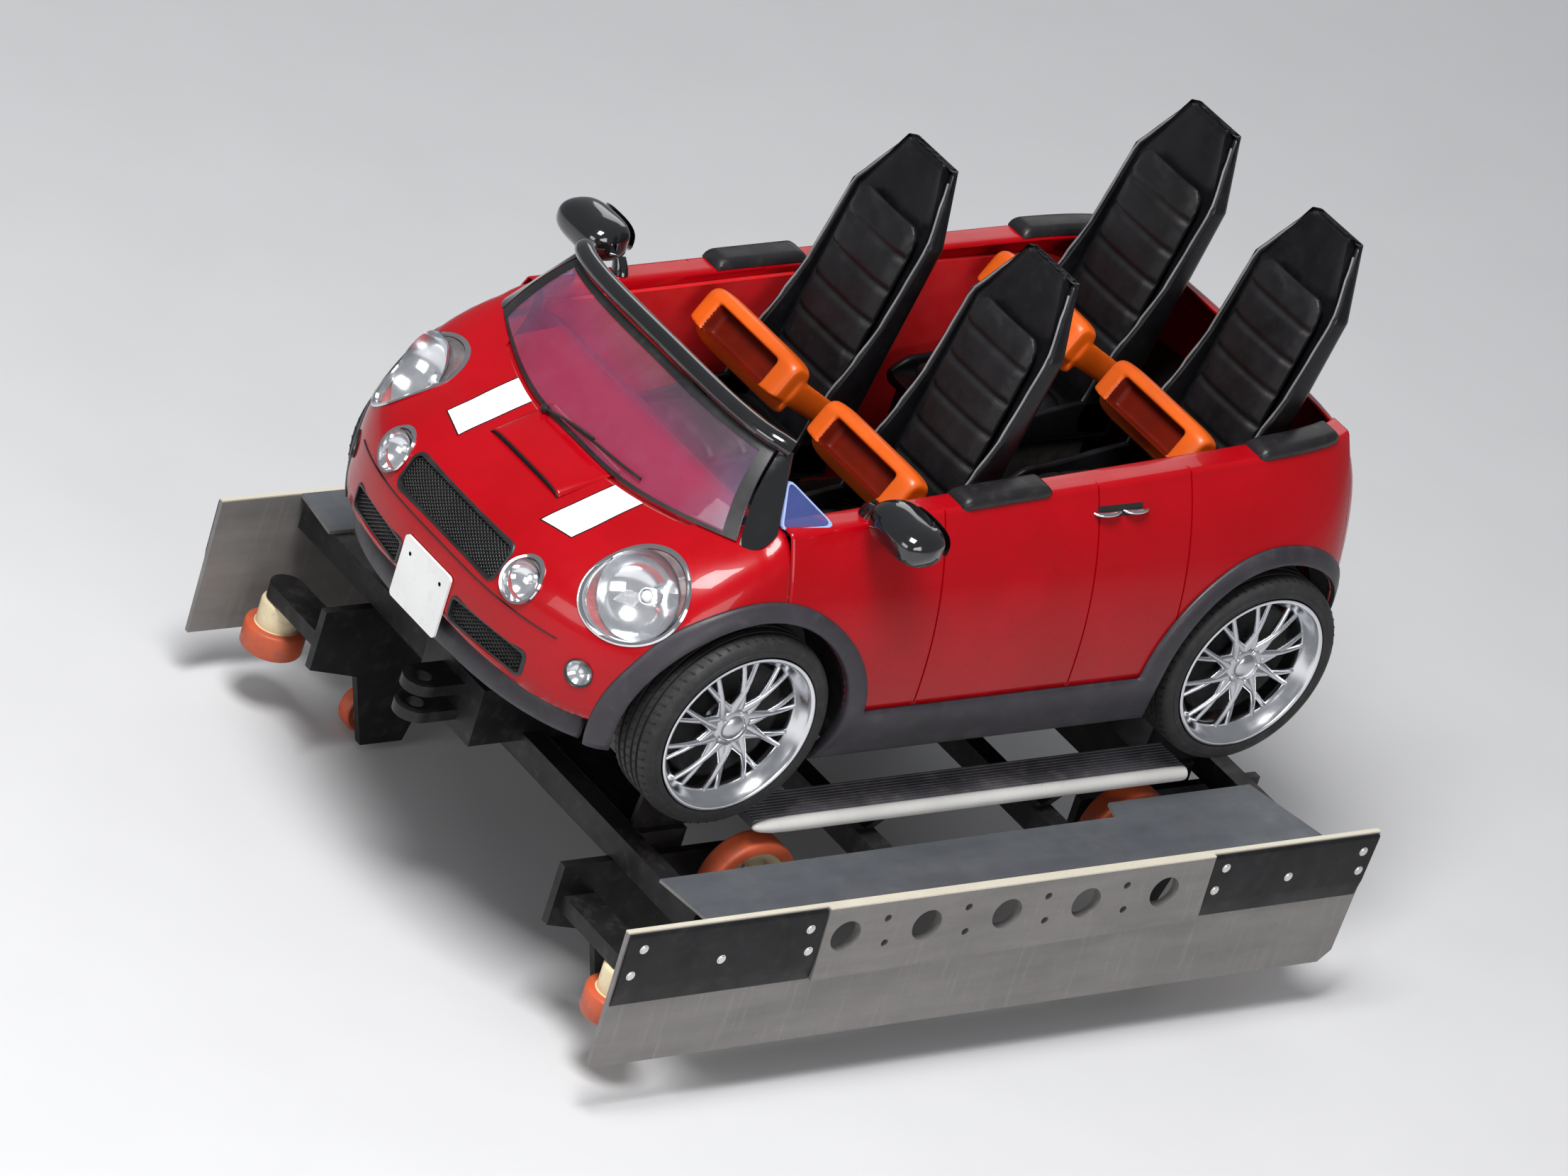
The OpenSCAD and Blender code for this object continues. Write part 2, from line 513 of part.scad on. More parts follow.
module seat_shell() {
    w = seat_w / 2;
    shoulder_z = back_len - 150;
    color(black) difference() {
        union() {
            across(-w + side_t - 1, 2 * (w - side_t + 1)) seat_profile();
            both_sides() across(w - side_t, side_t) seat_wing();
            // Tube that the lap bar turns on, behind the backrest
            across(-w - bar_arm_t - 8, seat_w + 2 * bar_arm_t + 16) translate([hinge_x, hinge_z]) circle(hinge_r);
            across(-w + 4, seat_w - 8) translate([hinge_x, hinge_z]) circle(hinge_r + 8);
            both_sides() across(w - 60, 20) polygon([[hinge_x - 8, hinge_z - 14], [hinge_x - 8, hinge_z + 14], [-30, hinge_z + 45], [-30, hinge_z - 55]]);
        }
        rotate([0, -recline, 0]) both_sides() translate([-back_t - 60, 0, 0]) forward(200)
            polygon([[w + 6.6, shoulder_z - 15], [84 - 6.6, back_len + 15], [w + 6.6, back_len + 15]]);
    }
}
module seat_cushion() {
    translate([seat_len / 2 + 25, 0, -pad_t + fit_gap]) linear_extrude(pad_t - 3) rounded(seat_len - 60, seat_w - 2 * side_t - 4, 30);
    rotate([0, -recline, 0]) translate([fit_gap, 0, 0]) forward(30) translate([0, 285]) rounded(seat_w - 2 * side_t - 12, 500, 34);
}
module seat_pads() {
    color(black) for (row = [0, 1]) for (left = [true, false]) at_seat(row, left) seat_cushion();
}

// Lap bar, drawn about its pivot
pad_r = 37;
module lap_bar() {
    w = seat_w / 2 + 4;
    tip = [bar_reach * cos(bar_angle), bar_reach * sin(bar_angle)];
    color(orange) translate([hinge_x, 0, hinge_z]) {
        both_sides() difference() {
            across(w, bar_arm_t) {
                circle(28);
                translate(tip) circle(34);
                rotate(bar_angle) polygon([[0, -27], [bar_reach, -33], [bar_reach, 33], [0, 27]]);
            }
            across(w - 1, bar_arm_t + 2) circle(hinge_r + 0.08);
        }
        across(-w - 1, 2 * w + 2) translate(tip) rotate(bar_angle - 90) {
            for (k = [-1, 1]) translate([k * 26, 0]) circle(pad_r);
            square([52, 2 * pad_r], center = true);
        }
    }
}

// Wheels, drawn about their own centres with the pin along Z
play = 0.05;
run_pin_r = 18;
guide_pin_r = 15;
upstop_pin_r = 14;
stub_r = 22;
guide_hub_top = 92;
module turned(profile) {
    rotate_extrude() polygon(profile);
}
module run_wheel() {
    r = run_d / 2;
    h = run_w / 2;
    b = run_pin_r + play;
    color(tread_red) turned([[b, -h - 4], [36, -h - 4], [38, -h + 8], [r - 36, -h + 14], [r - 24, -h], [r - 6, -h], [r, -h + 6],
        [r, h - 6], [r - 6, h], [r - 24, h], [r - 36, h - 14], [38, h - 8], [36, h + 4], [b, h + 4]]);
}
module guide_wheel() {
    r = guide_d / 2;
    b = guide_pin_r + play;
    color(tread_red) turned([[b, -32], [50, -32], [51, -30], [r - 6, -30], [r, -24], [r, 24], [r - 6, 30], [48, 30],
        [48, guide_hub_top - 6], [42, guide_hub_top], [b, guide_hub_top]]);
}
module upstop_wheel() {
    r = upstop_d / 2;
    b = upstop_pin_r + play;
    color(tread_red) turned([[b, -24], [26, -24], [28, -20], [r - 4, -20], [r, -16], [r, 16], [r - 4, 20], [28, 20], [26, 24], [b, 24]]);
}
module tyre() {
    r = tyre_d / 2;
    w = tyre_w;
    b = rim_d / 2 + 0.8;
    color(black) turned([[b, -w + 6], [b + 8, -w], [r - 18, -w + 4], [r - 5, -w + 14], [r, -w + 30], [r, -30], [r - 5, -14],
        [r - 18, -4], [b + 8, 0], [b, -6]]);
}
module spoke(from, to, width) {
    v = to - from;
    translate(from) rotate(atan2(v[1], v[0])) translate([0, -width / 2]) square([norm(v), width]);
}
module rim() {
    r = rim_d / 2;
    color(silver) difference() {
        union() {
            turned([[r - 18, -tyre_w + 8], [r, -tyre_w + 2], [r, -tyre_w + 10], [r - 12, -tyre_w + 20], [r - 12, -20], [r, -8],
                [r, -2], [r - 6, 0], [r - 9, -7], [r - 20, -18]]);
            translate([0, 0, -34]) linear_extrude(14) intersection() {
                circle(r - 14);
                union() {
                    circle(44);
                    for (i = [0:spoke_n - 1]) for (s = [-1, 1]) let (a = 360 * i / spoke_n)
                        spoke(36 * [cos(a), sin(a)], (r - 6) * [cos(a + s * 24), sin(a + s * 24)], 10);
                }
            }
            translate([0, 0, -74]) cylinder(r = 36, h = 58);
        }
        translate([0, 0, -75]) cylinder(r = stub_r + play, h = 62);
        translate([0, 0, -30]) cylinder(r = 28, h = 20);
    }
}

// Places a wheel on the left or right side with its outer end outward
module on_side(left) {
    mirror([0, left ? 0 : 1, 0]) children();
}
module road_place(front, left) {
    on_side(left) translate([front ? axle_x : -axle_x, rim_face_y, 0]) rotate([-90, 0, 0]) children();
}
module run_place(front, left) {
    on_side(left) translate([front ? run_x : -run_x, rail_y, run_z]) rotate([-90, 0, 0]) children();
}
module guide_place(front, left) {
    on_side(left) translate([front ? guide_x : -guide_x, guide_y, rail_z]) children();
}
module upstop_place(front, left) {
    on_side(left) translate([front ? axle_x : -axle_x, rail_y, upstop_z]) rotate([-90, 0, 0]) children();
}

// Wheel carriers of one axle, with the beam between them and the road wheels' stubs
plate_y = 470;
plate_t = 20;
beam_z = [-435, -325];
arm_z = rail_z + guide_hub_top + 3;
knuckle_y = 442;
knuckle_t = 12;
module axle() {
    color(black) {
        translate([axle_x - 60, -plate_y - 1, beam_z[0]]) cube([120, 2 * plate_y + 2, beam_z[1] - beam_z[0]]);
        both_sides() {
            across(plate_y, plate_t) polygon([[run_x - 78, -372], [guide_x + 62, -372], [guide_x + 62, rail_z + 62],
                [guide_x - 70, rail_z + 30], [axle_x + 55, upstop_z - 36], [axle_x - 55, upstop_z - 36], [run_x + 70, rail_z + 40], [run_x - 78, -500]]);
            across(knuckle_y, knuckle_t) {
                translate([axle_x, 0]) circle(45);
                translate([axle_x, 0]) polygon([[-75, beam_z[1] - 1], [75, beam_z[1] - 1], [45, 0], [-45, 0]]);
            }
            across(knuckle_y, rim_face_y - 20 - knuckle_y) translate([axle_x, 0]) circle(stub_r);
            across(plate_y, rail_y + run_w / 2 + 6 - plate_y) translate([run_x, run_z]) circle(run_pin_r);
            across(rail_y + run_w / 2 + 4 + fit_gap, 8) translate([run_x, run_z]) circle(run_pin_r + 8);
            across(plate_y, rail_y + 26 - plate_y) translate([axle_x, upstop_z]) circle(upstop_pin_r);
            across(rail_y + 24 + fit_gap, 6) translate([axle_x, upstop_z]) circle(upstop_pin_r + 6);
            // Arm over the rail that holds the guide wheel outside it
            translate([guide_x - 40, plate_y, arm_z]) cube([80, guide_y - plate_y, 36]);
            translate([guide_x, guide_y, arm_z]) cylinder(r = 40, h = 36);
            translate([guide_x, guide_y, rail_z - 34]) cylinder(r = guide_pin_r, h = arm_z - rail_z + 35);
            translate([guide_x, guide_y, rail_z - 40]) cylinder(r = guide_pin_r + 8, h = 8 - fit_gap);
        }
    }
}

// Chassis: spine, outriggers, bearers under the floor and the couplers
spine_w = 220;
spine_x = 960;
spine_z = [-325, -185];
rigger_xs = [240, 800];
rigger_z = [-366, fin_top_z - 8];
coupler_z = -255;
coupler_r = 20;
tongue_x = 1076;
clevis_x = 1040;
module chassis() {
    color(black) difference() {
        union() {
            translate([-spine_x, -spine_w / 2, spine_z[0]]) cube([2 * spine_x, spine_w, spine_z[1] - spine_z[0]]);
            for (x = [-800, -300, 250, 590]) translate([x - 30, -380, spine_z[1] - 1]) cube([60, 760, floor_z - spine_z[1] + 1]);
            both_sides() for (x = rigger_xs) for (s = [-1, 1])
                translate([s * x - 25, 0, rigger_z[0]]) cube([50, fin_y - 40, rigger_z[1] - rigger_z[0]]);
            for (z = [coupler_z - 45, coupler_z + 20]) translate([0, 0, z]) linear_extrude(25) {
                translate([spine_x - 1, -45]) square([clevis_x - spine_x + 1, 90]);
                translate([clevis_x, 0]) circle(45);
            }
            translate([0, 0, coupler_z - 15]) linear_extrude(30) {
                translate([-tongue_x, -45]) square([tongue_x - spine_x + 1, 90]);
                translate([-tongue_x, 0]) circle(45);
            }
        }
        for (x = [clevis_x, -tongue_x]) translate([x, 0, coupler_z - 60]) cylinder(r = coupler_r, h = 120);
    }
}

// Fins with their top plates
strap_t = 10;
strap_low_z = -482;
fin_low_z = fin_top_z - fin_h;
module fin_outline() {
    polygon([[fin_front_x, fin_top_z], [fin_front_x - 7, fin_low_z], [-fin_rear_x + 49, fin_low_z], [-fin_rear_x + 19, fin_low_z + 28], [-fin_rear_x, fin_top_z]]);
}
module fin() {
    color(aluminium) difference() {
        union() {
            across(fin_y - fin_t, fin_t) fin_outline();
            across(fin_y - 1, strap_t + 1) polygon([[508, fin_top_z], [500, strap_low_z], [-540, strap_low_z + 18], [-532, fin_top_z]]);
            translate([0, 0, fin_top_z - 8]) linear_extrude(8)
                polygon([[815, fin_y - 1], [837, 662], [-385, 655], [-400, 604], [-796, 604], [-850, fin_y - 1]]);
        }
        for (i = [-2:2]) across(fin_y - fin_t - 1, fin_t + strap_t + 2) translate([15 + i * fin_hole_pitch, -376]) circle(d = fin_hole_d);
        for (i = [-1.5:1.5]) for (s = [-1, 1]) across(fin_y - fin_t - 1, fin_t + strap_t + 2)
            translate([15 + i * fin_hole_pitch + s * 6, -376 + s * 32]) circle(d = 18, $fn = 16);
    }
}
module fin_straps() {
    color(black) both_sides() across(fin_y + fit_gap, strap_t) {
        polygon([[fin_front_x - 4, fin_top_z - 6], [fin_front_x - 8, strap_low_z], [503, strap_low_z], [511, fin_top_z - 6]]);
        polygon([[-536, fin_top_z - 6], [-544, strap_low_z + 20], [-fin_rear_x + 16, strap_low_z + 20], [-fin_rear_x + 4, fin_top_z - 6]]);
    }
}

// Steps along the sides
step_mid_x = -27;
step_t = 22;
step_y = 600;
module step() {
    color(silver) {
        translate([step_mid_x - step_len / 2, step_y - step_w, step_z - step_t]) cube([step_len, step_w - 12, step_t]);
        forward_at(step_mid_x - step_len / 2, step_len) translate([step_y - 13, step_z - 13]) circle(13);
        for (x = [-240, 240]) translate([x, 0, 0]) both_ends() across(505, 70)
            polygon([[58, step_z - step_t + 1], [84, step_z - step_t + 1], [24, rigger_z[1] + fit_gap], [-1, rigger_z[1] + fit_gap]]);
    }
}
module both_ends() {
    children();
    mirror([1, 0, 0]) children();
}
module steps() {
    both_sides() step();
}

// Door mirrors
mirror_at = [424, body_half + 10, 468];
module mirrors() {
    foot_z = belt_z(mirror_at[0] - 20) + fit_gap;
    foot_y = side_y(mirror_at[0], foot_z) - 44;
    color(black) both_sides() {
        hull() for (p = [[-46, -72, -30], [-46, 66, -26], [-40, 64, 30], [-40, -70, 34], [46, -58, -22], [40, 50, -16], [38, 46, 18], [42, -56, 24]])
            translate(mirror_at + p) sphere(r = 20, $fn = 24);
        hull() {
            translate([mirror_at[0] - 20, foot_y, foot_z]) cube([44, 36, 8]);
            translate(mirror_at + [-10, -76, -28]) cube([24, 30, 30]);
        }
    }
}

// Pads on the sides' top edges beside each row
pad_spans = [[-47, 194], [-860, -619]];
pad_top = 20;
module sill_pads() {
    color(black) both_sides() for (p = pad_spans) {
        xs = [for (t = [0:0.25:1]) mix(p[0], p[1], t)];
        slab([for (x = xs) let (b = belt_z(x), y = side_y(x, b)) [[x, side_y(x, b - 14) + 6, b - 14], [x, y + 9, b + 4], [x, y + 3, b + pad_top - 4], [x, y - wall_t + 9, b + pad_top], [x, y - wall_t + 1, b + 9]]],
            [for (x = xs) let (b = belt_z(x), y = side_y(x, b)) [[x, side_y(x, b - 14) + 1, b - 14], [x, side_y(x, b - 6) + 1, b - 6], [x, y + 1, b + 0.4], [x, y - wall_t + 9, b + 0.4], [x, y - wall_t + 1, b + 0.4]]]);
    }
}

module lifted() {
    translate([0, 0, axle_h]) children();
}
module rear_axle() {
    mirror([1, 0, 0]) axle();
}

lifted() chassis();
lifted() axle();  // axle_front
lifted() rear_axle();  // axle_rear
lifted() nose_panel();  // nose
lifted() side();  // side_left
lifted() mirror([0, 1, 0]) side();  // side_right
lifted() tail();
lifted() tub();
lifted() cladding();  // cladding_left
lifted() mirror([0, 1, 0]) cladding();  // cladding_right
lifted() lip_front();
lifted() lip_rear();
lifted() grille();
lifted() headlamps();
lifted() driving_lamps();
lifted() marker_lamps();
lifted() tail_lamps();
lifted() windscreen();
lifted() screen_frame();
lifted() mirrors();
lifted() sill_pads();
lifted() dashboard();
lifted() number_plates();
lifted() at_seat(0, true) seat_shell();  // seat_fl
lifted() at_seat(0, false) seat_shell();  // seat_fr
lifted() at_seat(1, true) seat_shell();  // seat_rl
lifted() at_seat(1, false) seat_shell();  // seat_rr
lifted() seat_pads();
lifted() at_seat(0, true) lap_bar();  // lap_bar_fl
lifted() at_seat(0, false) lap_bar();  // lap_bar_fr
lifted() at_seat(1, true) lap_bar();  // lap_bar_rl
lifted() at_seat(1, false) lap_bar();  // lap_bar_rr
lifted() run_place(true, true) run_wheel();  // run_wheel_fl
lifted() run_place(true, false) run_wheel();  // run_wheel_fr
lifted() run_place(false, true) run_wheel();  // run_wheel_rl
lifted() run_place(false, false) run_wheel();  // run_wheel_rr
lifted() guide_place(true, true) guide_wheel();  // guide_wheel_fl
lifted() guide_place(true, false) guide_wheel();  // guide_wheel_fr
lifted() guide_place(false, true) guide_wheel();  // guide_wheel_rl
lifted() guide_place(false, false) guide_wheel();  // guide_wheel_rr
lifted() upstop_place(true, true) upstop_wheel();  // upstop_wheel_fl
lifted() upstop_place(true, false) upstop_wheel();  // upstop_wheel_fr
lifted() upstop_place(false, true) upstop_wheel();  // upstop_wheel_rl
lifted() upstop_place(false, false) upstop_wheel();  // upstop_wheel_rr
lifted() road_place(true, true) rim();  // rim_fl
lifted() road_place(true, false) rim();  // rim_fr
lifted() road_place(false, true) rim();  // rim_rl
lifted() road_place(false, false) rim();  // rim_rr
lifted() road_place(true, true) tyre();  // tyre_fl
lifted() road_place(true, false) tyre();  // tyre_fr
lifted() road_place(false, true) tyre();  // tyre_rl
lifted() road_place(false, false) tyre();  // tyre_rr
lifted() steps();
lifted() fin();  // fin_left
lifted() mirror([0, 1, 0]) fin();  // fin_right
lifted() fin_straps();
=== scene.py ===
"""Looks of the roller coaster car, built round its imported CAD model."""

from math import asin, atan2, copysign, cos, degrees, hypot, pi, radians, sin, sqrt

import bmesh
import bpy
import numpy as np
from mathutils import Matrix, Vector


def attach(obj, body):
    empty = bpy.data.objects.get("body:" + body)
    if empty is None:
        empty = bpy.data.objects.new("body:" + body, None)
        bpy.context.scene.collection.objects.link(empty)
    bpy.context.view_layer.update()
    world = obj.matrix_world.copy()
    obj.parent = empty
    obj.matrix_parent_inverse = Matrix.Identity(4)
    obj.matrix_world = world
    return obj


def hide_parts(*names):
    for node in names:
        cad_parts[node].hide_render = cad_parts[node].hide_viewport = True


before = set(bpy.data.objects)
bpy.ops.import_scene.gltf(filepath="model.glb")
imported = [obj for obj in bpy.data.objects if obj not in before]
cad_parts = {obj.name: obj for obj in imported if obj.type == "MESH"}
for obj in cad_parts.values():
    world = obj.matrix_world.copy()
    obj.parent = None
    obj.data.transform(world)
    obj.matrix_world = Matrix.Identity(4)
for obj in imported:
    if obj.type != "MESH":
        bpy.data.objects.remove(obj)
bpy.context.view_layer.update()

# Sizes in millimetres, measured from the road wheels' axles as in the part's source
AXLE_H = 755.0
NOSE_X, TAIL_X = 1115.0, 1050.0
FRONT_START, REAR_START = 350.0, 200.0
BODY_HALF, WAIST_Z = 594.0, 60.0
SIDE_RISE, TUCK, ROUND = 651.0, 406.0, 2.2
COWL_X, DECK_X = 640.0, 905.0
AXLE_X, ARCH_R = 690.0, 262.0
BUMPER_Z, SILL_Z = -25.0, 20.0
BELT_FRONT, BELT_REAR, BELT_END = 428.0, 488.0, 850.0
BONNET_Z, BONNET_SLOPE, COWL_RUN = 395.0, 0.36, 60.0
CORNERS = ("fl", "fr", "rl", "rr")


def at(x, y, z):
    """Millimetres from the axles' level to metres in the part's frame."""
    return (x / 1000, y / 1000, (z + AXLE_H) / 1000)


def mix(a, b, t):
    return a + (b - a) * t


def between(p, q, t):
    return tuple(mix(a, b, t) for a, b in zip(p, q))


def bend(p, pull, q, t):
    """Point on a curve from p to q that leans towards pull."""
    return tuple((1 - t) ** 2 * a + 2 * t * (1 - t) * c + t * t * b for a, c, b in zip(p, pull, q))


def clamp01(t):
    return min(1.0, max(0.0, t))


def ease(t):
    t = clamp01(t)
    return t * t * (3 - 2 * t)


def shares(n):
    """Even steps from 0 to 1."""
    return [k / n for k in range(n + 1)]


def turns(n):
    """Even angles round one turn."""
    return [2 * pi * k / n for k in range(n)]


def bisect(lo, hi, before, steps=26):
    """Place between lo and hi where before stops being true."""
    for _ in range(steps):
        m = (lo + hi) / 2
        lo, hi = (m, hi) if before(m) else (lo, m)
    return (lo + hi) / 2


# Materials


class Nodes:
    """Short calls for building one material's nodes."""

    def __init__(self, name):
        self.mat = bpy.data.materials.new(name)
        self.mat.use_nodes = True
        self.tree = self.mat.node_tree
        self.bsdf = self.tree.nodes["Principled BSDF"]
        self.coords = self.tree.nodes.new("ShaderNodeTexCoord").outputs["Object"]

    def put(self, kind, inputs=(), **props):
        n = self.tree.nodes.new(kind)
        for k, v in props.items():
            setattr(n, k, v)
        for key, v in dict(inputs).items():
            self.link(v, n.inputs[key])
        return n

    def link(self, value, socket):
        if isinstance(value, bpy.types.NodeSocket):
            self.tree.links.new(value, socket)
        else:
            socket.default_value = (*value, 1) if socket.type == "RGBA" else value

    def calc(self, op, a, b=0.0, clamp=False):
        return self.put("ShaderNodeMath", {0: a, 1: b}, operation=op, use_clamp=clamp).outputs[0]

    def mul(self, a, b, clamp=False):
        return self.calc("MULTIPLY", a, b, clamp)

    def plus(self, a, b):
        return self.calc("ADD", a, b)

    def sub(self, a, b):
        return self.calc("SUBTRACT", a, b)

    def size(self, a):
        return self.calc("ABSOLUTE", a)

    def over(self, a, b):
        return self.calc("GREATER_THAN", a, b)

    def under(self, a, b):
        return self.calc("LESS_THAN", a, b)

    def fade(self, value, start, rate):
        return self.mul(self.sub(value, start), rate, True)

    def noise(self, scale, detail=4.0, rough=0.55, stretch=None):
        v = self.coords
        if stretch:
            v = self.put("ShaderNodeMapping", {"Vector": v, "Scale": stretch}).outputs[0]
        inputs = {"Vector": v, "Scale": scale, "Detail": detail, "Roughness": rough}
        return self.put("ShaderNodeTexNoise", inputs).outputs["Fac"]

    def ramp(self, value, *stops):
        n = self.put("ShaderNodeValToRGB", {"Fac": value})
        for e, (place, c) in zip(n.color_ramp.elements, stops):
            e.position, e.color = place, (c, c, c, 1)
        return n.outputs["Color"]

    def patches(self, low, high, *noise):
        """Value that wanders between two stops of (noise, value)."""
        return self.ramp(self.noise(*noise), low, high)

    def blend(self, fac, a, b):
        return self.put("ShaderNodeMix", {0: fac, 6: a, 7: b}, data_type="RGBA").outputs[2]

    def mottled(self, scale, dark, light):
        return self.blend(self.patches((0.35, 0.0), (0.65, 1.0), scale), dark, light)

    def axes(self):
        return self.put("ShaderNodeSeparateXYZ", {0: self.coords}).outputs

    def bump(self, height, strength, distance=0.001):
        return self.put("ShaderNodeBump", {"Height": height, "Strength": strength, "Distance": distance}).outputs[0]

    def out(self, color, rough, normal=None, alpha=None, **plain):
        for value, key in ((color, "Base Color"), (rough, "Roughness"), (normal, "Normal"), (alpha, "Alpha")):
            if value is not None:
                self.link(value, self.bsdf.inputs[key])
        for key, v in plain.items():
            self.bsdf.inputs[key.replace("_", " ")].default_value = v
        return self.mat


def shade(color, k):
    return tuple(min(1.0, c * k) for c in color)


def surface(name, color, rough, vary=0.25, dirt=None, grain=0.0, grain_scale=900.0, metallic=0.0, coat=0.0, spec=0.5):
    """Coloured surface with patchy colour, patchy gloss, a fine grain and some dust (a colour and its strength)."""
    n = Nodes(name)
    col = n.mottled(7.0, shade(color, 1 - vary), shade(color, 1 + vary))
    if dirt:
        col = n.blend(n.patches((0.52, 0.0), (0.75, dirt[3]), 28.0, 8.0, 0.7), col, dirt[:3])
    gloss = n.patches((0.3, max(0.02, rough - 0.07)), (0.7, min(1.0, rough + 0.09)), 16.0, 6.0)
    grains = n.bump(n.noise(grain_scale, 2.0), grain) if grain else None
    return n.out(col, gloss, grains, Metallic=metallic, Coat_Weight=coat, Coat_Roughness=0.04, Specular_IOR_Level=spec)


def paint(name, stripes=False):
    """Red gloss paint with a clear coat; the nose has two white stripes beside the bonnet's bulge."""
    n = Nodes(name)
    x, y, z = n.axes()
    col = n.mottled(5.0, (0.300, 0.0003, 0.0030), (0.345, 0.0005, 0.0050))
    low_down = n.ramp(n.fade(z, 0.72, 5.0), (0.0, 0.10), (0.6, 0.0))
    dust = n.mul(n.patches((0.45, 0.0), (0.8, 1.0), 22.0, 8.0, 0.7), low_down)
    col = n.blend(dust, col, (0.16, 0.06, 0.04))
    if stripes:
        inner, outer, above = 0.163, 0.243, 0.95
        side = n.size(y)
        outward = n.sub(side, inner + 0.002)
        front = n.sub(0.998, n.mul(outward, 0.27))
        rear = n.sub(0.826, n.mul(outward, 0.12))
        edges = [(side, inner, 1.0), (side, outer, -1.0), (n.sub(front, x), 0.0, 1.0), (n.sub(x, rear), 0.0, 1.0)]

        def inside(grow):
            m = 1.0
            for value, limit, sign in edges:
                m = n.mul(m, n.mul(n.plus(n.mul(n.sub(value, limit), sign), grow), 4000.0, True))
            return n.mul(m, n.over(z, above))
        col = n.blend(inside(0.0035), col, (0.03, 0.004, 0.005))
        col = n.blend(inside(0.0), col, (0.82, 0.81, 0.79))
    return n.out(col, n.patches((0.3, 0.20), (0.7, 0.34), 11.0, 6.0), n.bump(n.noise(420.0, 1.0), 0.02, 0.0004),
                 Coat_Weight=0.3, Coat_Roughness=0.03, Specular_IOR_Level=0.16)


def tyre_material():
    n = Nodes("tyre_rubber")
    col = n.mottled(9.0, (0.006, 0.006, 0.007), (0.013, 0.013, 0.014))
    col = n.blend(n.patches((0.5, 0.0), (0.8, 0.35), 60.0, 8.0, 0.7), col, (0.07, 0.06, 0.05))
    return n.out(col, n.patches((0.3, 0.55), (0.7, 0.78), 20.0), n.bump(n.noise(700.0, 2.0), 0.25, 0.0004))


def metal(name, color, rough):
    n = Nodes(name)
    col = n.blend(n.patches((0.3, 0.0), (0.7, 1.0), 12.0, 6.0), shade(color, 0.85), color)
    gloss = n.patches((0.3, max(0.03, rough - 0.05)), (0.7, rough + 0.08), 18.0, 6.0)
    return n.out(col, gloss, n.bump(n.noise(300.0, 2.0, 0.5), 0.04, 0.0004), Metallic=1.0)


def glass(name, color, rough, alpha, reflections_painted=False):
    """Hazy glass; on the screen, painted reflections and see-through colour make it magenta low down, greyer and
    clearer at the top, lavender at its ends.
    """
    n = Nodes(name)
    haze = n.patches((0.45, max(0.02, alpha - 0.03)), (0.8, alpha + 0.10), 14.0, 6.0, 0.7)
    if reflections_painted:
        x, y, z = n.axes()
        # Painted reflections: magenta of the red body below a slanting line, greyer above it, lavender towards the ends
        line = n.plus(n.mul(y, 0.10), n.mul(n.noise(9.0, 3.0), 0.04))
        top = n.fade(n.plus(z, line), 1.262, 16.0)
        ends = n.fade(n.size(y), 0.30, 8.0)
        color = n.blend(ends, n.blend(top, color, (0.20, 0.13, 0.17)), (0.22, 0.18, 0.29))
        haze = n.sub(n.plus(haze, n.mul(ends, 0.06)), n.mul(top, 0.07))
    gloss = n.patches((0.4, rough), (0.8, rough + 0.06), 30.0, 4.0)
    return n.out(color, gloss, alpha=haze, Coat_Weight=0.5, Specular_IOR_Level=0.5)


def leather(name, color):
    n = Nodes(name)
    cells = n.put("ShaderNodeTexVoronoi", {"Vector": n.coords, "Scale": 420.0}).outputs["Distance"]
    col = n.mottled(14.0, shade(color, 0.7), shade(color, 1.3))
    col = n.blend(n.patches((0.55, 0.0), (0.85, 0.14), 45.0, 8.0, 0.7), col, (0.06, 0.055, 0.05))
    gloss = n.patches((0.3, 0.38), (0.7, 0.58), 22.0)
    return n.out(col, gloss, n.bump(cells, 0.35, 0.0006), Specular_IOR_Level=0.35)


def tub_material():
    """Red side walls and a dark worn floor."""
    n = Nodes("tub_lining")
    x, y, z = n.axes()
    wall = n.mul(n.over(n.size(y), 0.4265), n.under(n.size(y), 0.4395))
    red = n.mottled(6.0, (0.42, 0.006, 0.008), (0.54, 0.009, 0.012))
    floor = n.blend(n.patches((0.4, 0.0), (0.8, 1.0), 24.0, 8.0, 0.7), (0.018, 0.018, 0.018), (0.06, 0.052, 0.045))
    rough = n.patches((0.3, 0.40), (0.7, 0.62), 16.0)
    return n.out(n.blend(wall, floor, red), rough, n.bump(n.noise(300.0, 2.0), 0.15, 0.0005))


